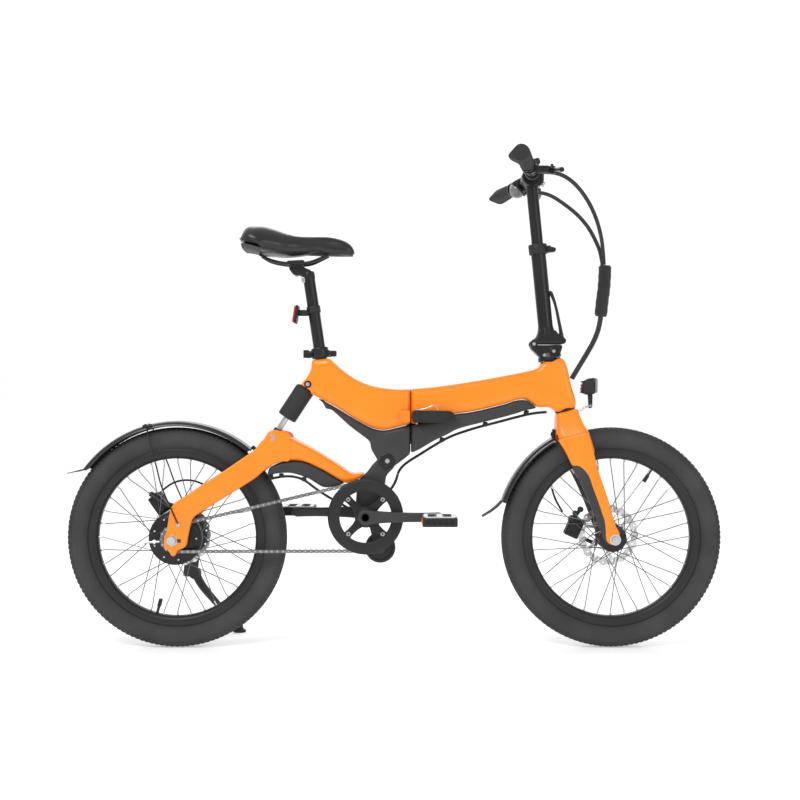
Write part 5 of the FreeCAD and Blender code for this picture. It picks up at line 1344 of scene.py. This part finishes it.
def bars():
    """Swept tube, winged grips, brake levers on their clamps, display, bell and shifter-side control."""
    line = [bar_point(y) * MM for y in (-283, -240, -200, -160, -120, -90, -70, -58, -50, -42, -30, 0, 30, 42, 50, 58,
                                        70, 90, 120, 160, 200, 240, 283)]
    bm = bmesh.new()
    tube_mesh(bm, line, 12.6 * MM, 40)
    add("bar_tube", bm, black_anodised(), "bars", "handlebar", scale=1)
    for side in (-1, 1):
        hand = "left" if side > 0 else "right"
        inner, outer = bar_point(side * 165), bar_point(side * 288)
        along = (outer - inner).normalized()
        back = (Vector((-1, 0, -0.25)) - along * Vector((-1, 0, -0.25)).dot(along)).normalized()
        up = along.cross(back)
        bm = bmesh.new()
        rings = []
        length = (outer - inner).length
        count = 96
        for i in range(count + 1):
            u = i / count
            centre = inner + along * length * u
            rib = 0.55 * math.sin(u * 2 * math.pi * 19) if 0.05 < u < 0.92 else 0
            ring = []
            for k in range(48):
                a = 2 * math.pi * k / 48
                wing = max(0, math.cos(a)) ** 8 * 9 * smooth((u - 0.4) / 0.35)
                squeeze = 1 - 0.14 * smooth((u - 0.42) / 0.3) * abs(math.sin(a)) * max(0, math.cos(a))
                r = (15.4 + 3 * smooth(u) + rib * (0.4 + 0.6 * abs(math.cos(2 * a)))) \
                    * (0.9 + 0.1 * min(1, min(u, 1 - u) * 30))
                ring.append(bm.verts.new(centre + back * (r * math.cos(a) + wing)
                                         + up * r * math.sin(a) * squeeze))
            rings.append(ring)
        skin(bm, rings)
        stands = ("grips",) if side < 0 else ()
        add("grip_" + hand, bm, rubber(), "bars", *stands)
        bm = bmesh.new()
        lathe(bm, [(0.1, -2), (15.6, -2), (16, 0), (14.8, 1.2), (0.1, 1.6)], outer, along, 48)
        add("grip_cap_" + hand, bm, black_plastic(), "bars")
        bm = bmesh.new()
        lathe(bm, [(12.7, -5), (16.6, -5), (17.2, -4), (17.2, 0), (16.6, 1), (12.7, 1)], inner, along, 40)
        rod(bm, inner - back * 12 - along * 2, inner - back * 19 - along * 2, 2.6, 16)
        # Brake lever clamp and its hooded body.
        at = bar_point(side * 136)
        lathe(bm, band(12.7, 16.5, 17.4, 8, 1.5), at, along, 48)
        low_y, high_y = sorted((at.y, at.y + side * 16))
        block(bm, (at.x + 8, low_y, at.z - 16), (at.x + 44, high_y, at.z), 4)
        low_y, high_y = sorted((at.y - side * 4, at.y + side * 12))
        block(bm, (at.x + 40, low_y, at.z - 17), (at.x + 58, high_y, at.z - 13.6), 1)
        rod(bm, (at.x + 50, at.y + side * 6, at.z + 4), (at.x + 50, at.y + side * 6, at.z - 18), 3, 20)
        rod(bm, (at.x + 14, at.y - side * 2, at.z - 11), (at.x + 8, at.y - side * 14, at.z - 11), 4.6, 20)
        add("lever_perch_" + hand, bm, black_anodised(), "bars")
        pivot = Vector((at.x + 50, at.y + side * 6, at.z - 7))
        path = curve_through([pivot, pivot + Vector((7, side * 22, -5)), pivot + Vector((6, side * 50, -10)),
                              pivot + Vector((4, side * 78, -15)), pivot + Vector((8, side * 103, -20))], 3)
        bm = bmesh.new()
        tube_mesh(bm, [p * MM for p in path], 5.2 * MM, 20,
                  lambda i, n: 1.1 - 0.25 * smooth(i / n * 2) + (0.18 if i > n - 6 else 0))
        bmesh.ops.scale(bm, vec=(1 / MM,) * 3, verts=bm.verts)
        lathe(bm, band(3.2, 7.4, 8, 6), pivot, (0, 0, 1), 32)
        add("lever_blade_" + hand, bm, black_anodised(), "brake_lever_" + hand, "brake_lever_" + hand)
    bm = bmesh.new()
    at = bar_point(-72)
    block(bm, (at.x - 22, -96, at.z + 10), (at.x + 16, -48, at.z + 24), 4, -18)
    lathe(bm, band(12.8, 16.4, 17, 6), at, (0, 1, 0), 40)
    add("display_case", bm, black_plastic(), "bars", "bar_controls")
    bm = bmesh.new()
    block(bm, (at.x - 17, -91, at.z + 22.2), (at.x + 11, -53, at.z + 24.6), 1, -18)
    add("display_window", bm, display_glass(), "bars")
    bell = bar_point(90)
    axis = Vector((-1, 0, -1)).normalized()
    bm = bmesh.new()
    dome = [(0.1, 19)] + [(18.5 * math.cos(a), 19 * math.sin(a)) for a in map(math.radians, range(84, -1, -7))]
    inner_dome = [(r * 0.93, d * 0.93) for r, d in dome[::-1]]
    lathe(bm, dome + inner_dome, bell + Vector((-14, 0, -14)), axis, 48)
    add("bell_dome", bm, smoked_plastic(), "bars")
    bm = bmesh.new()
    lathe(bm, band(12.8, 16, 16.6, 6), bell, (0, 1, 0), 40)
    rod(bm, bell + Vector((-12, 0, -10)), bell + Vector((-22, 0, -22)), 5, 24)
    rod(bm, bell + Vector((-8, 0, -14)), bell + Vector((4, 14, -24)), 2.6, 12)
    control = bar_point(112)
    lathe(bm, band(12.8, 16.4, 17, 7), control, (0, 1, 0), 40)
    block(bm, (control.x - 20, control.y - 9, control.z - 24), (control.x + 4, control.y + 9, control.z - 8), 4)
    add("bar_switches", bm, black_plastic(), "bars")


# The lines that the hoses and cables follow
HOSE_RIGHT = [(330, -131, 1071), (352, -126, 1072), (380, -112, 1066), (410, -92, 1048), (440, -60, 1018),
              (462, -32, 984), (476, -14, 946), (482, -4, 912), (484, -3, 881)]
HOSE_LEFT = [(330, 131, 1071), (350, 126, 1070), (376, 110, 1060), (404, 88, 1036), (432, 58, 1006),
             (454, 32, 972), (468, 14, 938), (478, 6, 910), (482, 5, 881)]
SLEEVE = [(487, 0, 879.5), (486, 0, 836), (480, 0, 796), (477, 0, 762)]
LOWER_HOSE = [(477, 0, 761.5), (474, 0, 738), (462, 0, 706), (445, 0, 676), (426, 0, 645), (410, 0, 618)]
FRONT_CABLE = [(352, 0, 541), (326, 0, 540), (280, 0, 529), (240, 0, 518), (200, 0, 508), (170, 0, 499),
               (140, 0, 489), (114, 0, 477), (84, 0, 459), (54, 0, 440), (34, 0, 428), (14, 0, 412), (8, 0, 398)]
REAR_CABLE = [(8, 0, 397), (4, 0, 380), (-10, 0, 360), (-24, 0, 338)]
ARM_CABLE = [(-288, -26, 387), (-266, -24, 393), (-236, -22, 395), (-208, -22, 388), (-180, -22, 366),
             (-150, -22, 346), (-122, -22, 332), (-102, -22, 319)]


def evenly(line, step):
    """The line's points again, an even step apart."""
    even, carried = [line[0]], 0
    for a, b in zip(line, line[1:]):
        length = (b - a).length
        while carried + length >= step:
            u = (step - carried) / length
            a = a.lerp(b, u)
            length = (b - a).length
            carried = 0
            even.append(a.copy())
        carried += length
    return even + [line[-1]]


def hose(name, line, radius, material, wrap=0.0):
    """A hose that follows a line: wrap is the height of its spiral binding's ridges, as a part of its radius."""
    pitch, step = 4.6 * MM, 0.00092 if wrap else 0.003
    bm = bmesh.new()
    tube_mesh(bm, evenly(line, step), radius * MM, 18,
              lambda i, n: 1 - wrap + wrap * min(1, 2 * abs(math.sin(math.pi * i * step / pitch))))
    return add(name, bm, material, None, scale=1)


def hoses():
    """Wrapped hoses from the levers into a padded sleeve, and on down to the head tube, and the frame's cables."""
    wrapped, jacket = spiral_wrap(), cable_jacket()
    for name, points in (("bar_hose_right", HOSE_RIGHT), ("bar_hose_left", HOSE_LEFT)):
        line = spline_line(points)
        piece = hose(name, line, 4.6, wrapped, 0.16)
        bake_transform(piece)
        evenly(line, 0.004)
        if name.endswith("right"):
            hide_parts("bar_hoses")
    line = spline_line(LOWER_HOSE)
    middle = len(line) // 2
    runs = (("lower_hose_post", line[:middle + 1], "handlepost", "steering"),
            ("lower_hose_head", line[middle:], "steering", "front_frame"))
    for name, part, above, below in runs:
        piece = hose(name, part, 6.0, wrapped, 0.14)
        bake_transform(piece)
        evenly(part, 0.004)
        if above == "handlepost":
            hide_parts("lower_hose")
    line = evenly(spline_line(SLEEVE), 0.001)
    bm = bmesh.new()

    def quilt(i, n):
        u = i / (n - 1)
        edge = min(u, 1 - u) * n
        return (0.84 + 0.16 * smooth(edge / 5)) * (1 + 0.02 * math.sin(u * 37)) * (0.97 if 8 < edge < 10 else 1)

    tube_mesh(bm, line, 14.6 * MM, 48, quilt)
    for v in bm.verts:
        v.co.y *= 0.82
    add("hose_sleeve_cover", bm, neoprene(), "handlepost", "hose_sleeve", scale=1)
    line = spline_line(FRONT_CABLE)
    piece = hose("beam_cable", line, 3.0, jacket)
    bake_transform(piece)
    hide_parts("front_cable")
    line = spline_line(REAR_CABLE)
    piece = hose("pivot_cable", line, 3.0, jacket)
    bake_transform(piece)
    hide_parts("rear_cable")
    for name, route, body, radius in (
            ("arm_cable", ARM_CABLE, "swingarm", 2.8),
            ("rear_brake_cable", [(-546, 58, 356), (-530, 56, 370), (-505, 54, 380), (-476, 52, 381), (-450, 50, 372),
                                  (-430, 47, 362)], "swingarm", 2.3),
            ("front_brake_cable", [(366, 30, 372), (372, 40, 350), (382, 52, 328), (396, 58, 306)], "steering", 2.3)):
        piece = hose(name, spline_line(route), radius, jacket)
        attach(piece, body)
    bm = bmesh.new()
    for x, z in ((305, 540), (210, 513), (110, 477)):
        block(bm, (x - 5, -8, z - 5), (x + 5, 8, z + 6), 1.5, 14)
    add("beam_cable_clips", bm, black_plastic(), "front_frame")
    bm = bmesh.new()
    for x, z in ((-282, 393), (-258, 395), (-206, 387)):
        block(bm, (x - 5, -30, z - 4), (x + 5, -18, z + 6), 1.5)
    add("arm_cable_clips", bm, black_plastic(), "swingarm")


def front_light():
    """A lamp with a finned housing, a clear lens before a bright bowl, a stalk and a wire strut from the crown."""
    bm = bmesh.new()
    plate(bm, [[(431, 590), (433, 602), (438, 612), (446, 618), (462, 620.5)], [(462, 620.5), (462, 583)],
               [(462, 583), (452, 581), (440, 582), (431, 590)]], 20, 7)
    for k in range(4):
        plate(bm, closed((436 + k, 584 + 8 * k), (430 + 0.8 * k, 586 + 8 * k), (430 + 0.8 * k, 589 + 8 * k),
                         (438 + k, 589 + 8 * k)), 14, 1, step=2, soften=1)
    plate(bm, closed((447, 583), (458, 583), (457, 551), (449, 549)), 7, 3)
    add("light_housing", bm, black_plastic(), "steering", "headlight")
    bm = bmesh.new()
    lathe(bm, [(0.1, 0), (6, 0), (12, 1.4), (16.5, 4), (17.5, 5.5), (16.2, 5.8), (11, 3.2), (0.1, 2)], (460, 0, 602),
          (1, 0, 0), 48)
    add("light_bowl", bm, alloy(), "steering")
    bm = bmesh.new()
    loop = outline([[(-18, 586), (-19, 602), (-18, 618)], [(-18, 618), (0, 620), (18, 618)],
                    [(18, 618), (19, 602), (18, 586)], [(18, 586), (0, 584), (-18, 586)]], 3, 2)
    rings = [[bm.verts.new((x, p.x * s, (p.y - 602) * s + 602)) for p in loop]
             for x, s in ((462.2, 1), (465.5, 1), (467.4, 0.93))]
    skin(bm, rings)
    add("light_lens", bm, clear_lens(), "steering")
    bm = bmesh.new()
    for a, b in (((424, 0, 541), (440, 0, 552)), ((440, 0, 552), (452, 0, 556))):
        for dy in (-5, 5):
            rod(bm, (a[0], dy, a[2]), (b[0], dy, b[2]), 1.7, 10)
    hex_head(bm, (421, 0, 541), 5.5, 5, (0.96, 0, 0.28))
    rod(bm, (452, -9, 556), (452, 9, 556), 2.6, 16)
    add("light_strut", bm, steel(), "steering")


def seat():
    """Seatpost with its clamp and quick release, saddle rails, and the cushioned saddle."""
    axis, top = SEAT_AXIS, Vector((-169, 0, 664.5))
    bm = bmesh.new()
    lathe(bm, [(11.6, -99), (13.6, -99), (13.6, 196), (11.6, 196)], top, axis, 64)
    add("seatpost_tube", bm, black_anodised(), "seatpost", "seatpost")
    bm = bmesh.new()
    lathe(bm, [(13.8, 1), (19.4, 1), (20, 2.2), (19.2, 12), (20, 22), (18.6, 25), (13.8, 26)], top, axis, 72)
    block(bm, (-202, -7, 666), (-186, 7, 680), 3, -8)
    rod(bm, (-199, -11, 672), (-199, 11, 672), 6.6, 28)
    block(bm, (-158, -9, 671), (-147, 9, 684), 2.5, -8)
    add("seat_collar_band", bm, black_anodised(), "rear_frame", "seat_collar")
    bm = bmesh.new()
    lathe(bm, [(0.1, 0), (6, 0), (6.5, 1), (6.5, 17), (6, 18), (0.1, 18)], (-205, 22, 667), (0, 0, 1), 32)
    block(bm, (-206, 21.5, 669), (-146, 27.5, 683), 2.6)
    block(bm, (-152, 20, 670), (-134, 28, 684), 3.6)
    add("seat_lever_arm", bm, black_plastic(), "seat_lever", "seat_collar_lever")
    bm = bmesh.new()
    lathe(bm, [(13.7, 184), (14.6, 185), (14.8, 198), (13, 202), (0.1, 203)], top, axis, 64)
    plate(bm, [[(-243, 872), (-237, 881), (-226, 884), (-212, 882), (-206, 873)],
               [(-206, 873), (-196, 870), (-185, 862)], [(-185, 862), (-190, 851), (-208, 846)],
               [(-208, 846), (-216, 856), (-231, 857), (-243, 872)]], 13.5, 4)
    plate(bm, closed((-240, 874), (-236, 884), (-212, 884), (-208, 874)), 17, 3)
    for side in (-1, 1):
        plate(bm, closed((-248, 878), (-246, 888), (-206, 890), (-204, 879)), 6, 2, side * 22)
    add("saddle_clamp", bm, black_anodised(), "seatpost", "saddle_mount")
    bm = bmesh.new()
    for side in (-1, 1):
        wire(bm, [(-308, side * 24, 903), (-285, side * 24, 890), (-250, side * 22, 882.5), (-215, side * 22, 882),
                  (-188, side * 21, 886), (-152, side * 13, 902)], 5, 3.5, 14)
    add("saddle_rails", bm, black_anodised(), "seatpost")
    bm = bmesh.new()
    hex_head(bm, (-225, 0, 858), 5, 4, (0.2, 0, -1))
    block(bm, (-213, -15.2, 838), (-205, -12.8, 852), 1, -8)
    add("saddle_clamp_bolts", bm, steel(), "seatpost")
    bm = bmesh.new()
    lathe(bm, [(13.7, 106), (15.4, 106), (15.8, 107), (15.8, 121), (15.4, 122), (13.7, 122)], top, axis, 48)
    block(bm, (-224, -6, 763), (-197, 6, 777), 3)
    plate(bm, closed((-231, 745), (-225, 745), (-219, 787), (-225, 788)), 26, 3)
    add("reflector_bracket", bm, black_plastic(), "seatpost", "rear_reflector")
    bm = bmesh.new()
    plate(bm, closed((-234.6, 748), (-231, 747), (-225, 785), (-228.6, 786)), 23, 1, step=2, soften=1)
    add("reflector_lens", bm, red_reflector(), "seatpost")
    saddle()


def saddle_form():
    """The saddle's closed skin: side outline, plan half-widths and a domed cross-section, in millimetres."""
    top = curve_through([(-354, 0, 938), (-341, 0, 963), (-325, 0, 968.5), (-300, 0, 967), (-276, 0, 961),
                         (-248, 0, 951), (-227, 0, 945.5), (-200, 0, 943.5), (-161, 0, 943.5), (-139, 0, 942.5),
                         (-118, 0, 939), (-101, 0, 931), (-92, 0, 919), (-89.5, 0, 910)], 2)
    belly = curve_through([(-354, 0, 935), (-340, 0, 922), (-314, 0, 913), (-303, 0, 905), (-278, 0, 903),
                           (-248, 0, 900), (-210, 0, 903), (-170, 0, 908), (-142, 0, 904), (-100, 0, 902.5),
                           (-89.5, 0, 907)], 2)
    plan = curve_through([(-354.5, 36, 0), (-350, 52, 0), (-330, 73, 0), (-300, 75.5, 0), (-262, 58, 0),
                          (-220, 34, 0), (-160, 22.5, 0), (-110, 19, 0), (-92, 11, 0), (-89.2, 6, 0)], 2)

    def at(line, x, which):
        for a, b in zip(line, line[1:]):
            if a.x <= x <= b.x:
                return a[which] + (b[which] - a[which]) * (x - a.x) / max(1e-6, b.x - a.x)
        return line[0][which] if x < line[0].x else line[-1][which]

    bm = bmesh.new()
    rings, count = [], 72
    for i in range(count + 1):
        x = -353.8 + 263.8 * i / count
        high, low, half = at(top, x, 2), at(belly, x, 2), at(plan, x, 1)
        middle = low + (high - low) * 0.42
        ring = []
        for k in range(40):
            a = 2 * math.pi * k / 40
            c, s = math.cos(a), math.sin(a)
            y = half * math.copysign(abs(c) ** 0.72, c)
            z = middle + (high - middle) * abs(s) ** 0.9 if s >= 0 else middle - (middle - low) * abs(s) ** 0.6
            droop = 9 * max(0, (abs(y) / 76)) ** 2
            ring.append(bm.verts.new((x, y, z - (droop if s >= 0 else 0))))
        rings.append(ring)
    skin(bm, rings)
    return bm


def saddle():
    """The cover is inflated a little as cloth over its padding, and a moulded shell closes it from below."""
    piece = add("saddle_cover", saddle_form(), vinyl(), None)
    puff(piece)
    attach(piece, "seatpost")
    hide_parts("saddle")
    bm = bmesh.new()
    for side in (-1, 1):
        wire(bm, [(-351, side * 44, 936), (-332, side * 69, 928), (-300, side * 71, 922), (-262, side * 54, 918),
                  (-220, side * 31, 919), (-160, side * 20, 921), (-112, side * 17, 919), (-94, side * 9, 913)],
             4, 1.3, 8)
    add("saddle_piping", bm, rubber(), "seatpost")
    bm = bmesh.new()
    rings = []
    for i in range(40):
        x = -345 + 250 * i / 39
        u = i / 39
        half = 60 * (1 - smooth((x + 330) / 130)) + 15
        half *= min(1, (1 - u) * 8) ** 0.5
        low = 905 + 10 * (1 - smooth((x + 345) / 50)) + 2 * math.sin(u * 5)
        rings.append([bm.verts.new((x, half * c, low - 3 * s)) for c, s in
                      ((-1, -2.2), (-0.7, 0.4), (-0.3, 1), (0, 1), (0.3, 1), (0.7, 0.4), (1, -2.2), (0, -3))])
    skin(bm, rings)
    add("saddle_shell", bm, black_plastic(), "seatpost")


def puff(piece):
    """Blows the cover out against its own stretch, and lets no point move more than two millimetres."""
    remesh = piece.modifiers.new("even", "REMESH")
    remesh.mode, remesh.voxel_size = "VOXEL", 0.005
    bpy.context.view_layer.update()
    mesh = bpy.data.meshes.new_from_object(piece.evaluated_get(bpy.context.evaluated_depsgraph_get()))
    piece.modifiers.clear()
    material = piece.data.materials[0]
    piece.data = mesh
    if not mesh.materials:
        mesh.materials.append(material)
    rest = [v.co.copy() for v in mesh.vertices]
    cloth = piece.modifiers.new("cover", "CLOTH")
    settings = cloth.settings
    settings.use_pressure, settings.uniform_pressure_force = True, 4
    settings.tension_stiffness, settings.compression_stiffness, settings.bending_stiffness = 30, 30, 2
    settings.effector_weights.gravity = 0
    cloth.point_cache.frame_start, cloth.point_cache.frame_end = 1, 20
    scene = bpy.context.scene
    for step in range(1, 21):
        scene.frame_set(step)
    blown = bpy.data.meshes.new_from_object(piece.evaluated_get(bpy.context.evaluated_depsgraph_get()))
    piece.modifiers.clear()
    scene.frame_set(1)
    for vertex, home in zip(blown.vertices, rest):
        shift = vertex.co - home
        if shift.length > 2 * MM:
            vertex.co = home + shift.normalized() * 2 * MM
    piece.data = blown
    if not blown.materials:
        blown.materials.append(material)
    blown.polygons.foreach_set("use_smooth", [True] * len(blown.polygons))
    finer = piece.modifiers.new("finer", "SUBSURF")
    finer.levels = finer.render_levels = 1


def callipers():
    """Both brakes, with the bracket rods that hold them."""
    calliper("front_calliper_body", "steering", 421, 272, 24, DISC_Y,
             [((438, 54, 312), (421, 52, 290)), ((470, 54, 232), (428, 52, 252))], "front_calliper")
    calliper("rear_calliper_body", "swingarm", -548, 327, -35, DISC_Y,
             [((-512, 56, 318), (-536, 54, 326)), ((-516, 56, 288), (-540, 54, 306))], "rear_calliper")


def dress_kept_nodes():
    """Gives whatever still shows of the CAD model a material of its own kind."""
    by_class = {"matte_plastic": black_plastic, "painted_metal": dark_casting, "brushed_steel": steel,
                "rubber": rubber, "tyre": tyre_rubber, "aluminium": black_anodised, "leather": black_plastic,
                "gloss_plastic": black_plastic}
    slot_class = {m["slot"]: m["class"] for m in frame["record"]["materials"]}
    for entry in frame["record"]["subparts"]:
        kept, slot = NODES[entry["node"]], entry["material_slot"]
        if not kept.hide_render:
            kept.data.materials.clear()
            paint = orange_paint if slot == "orange_paint" else by_class[slot_class[slot]]
            kept.data.materials.append(paint())
            shade_smooth(kept.data, 30)


for build in (rear_frame, front_frame, hinge_knuckles, latch, wheels, swingarm, bottom_bracket, fork, drive, cranks,
              shock, mudguards, kickstand, handlepost, bars, hoses, front_light, seat, callipers, dress_kept_nodes,
              camera, colours_as_painted, floor, lights):
    build()
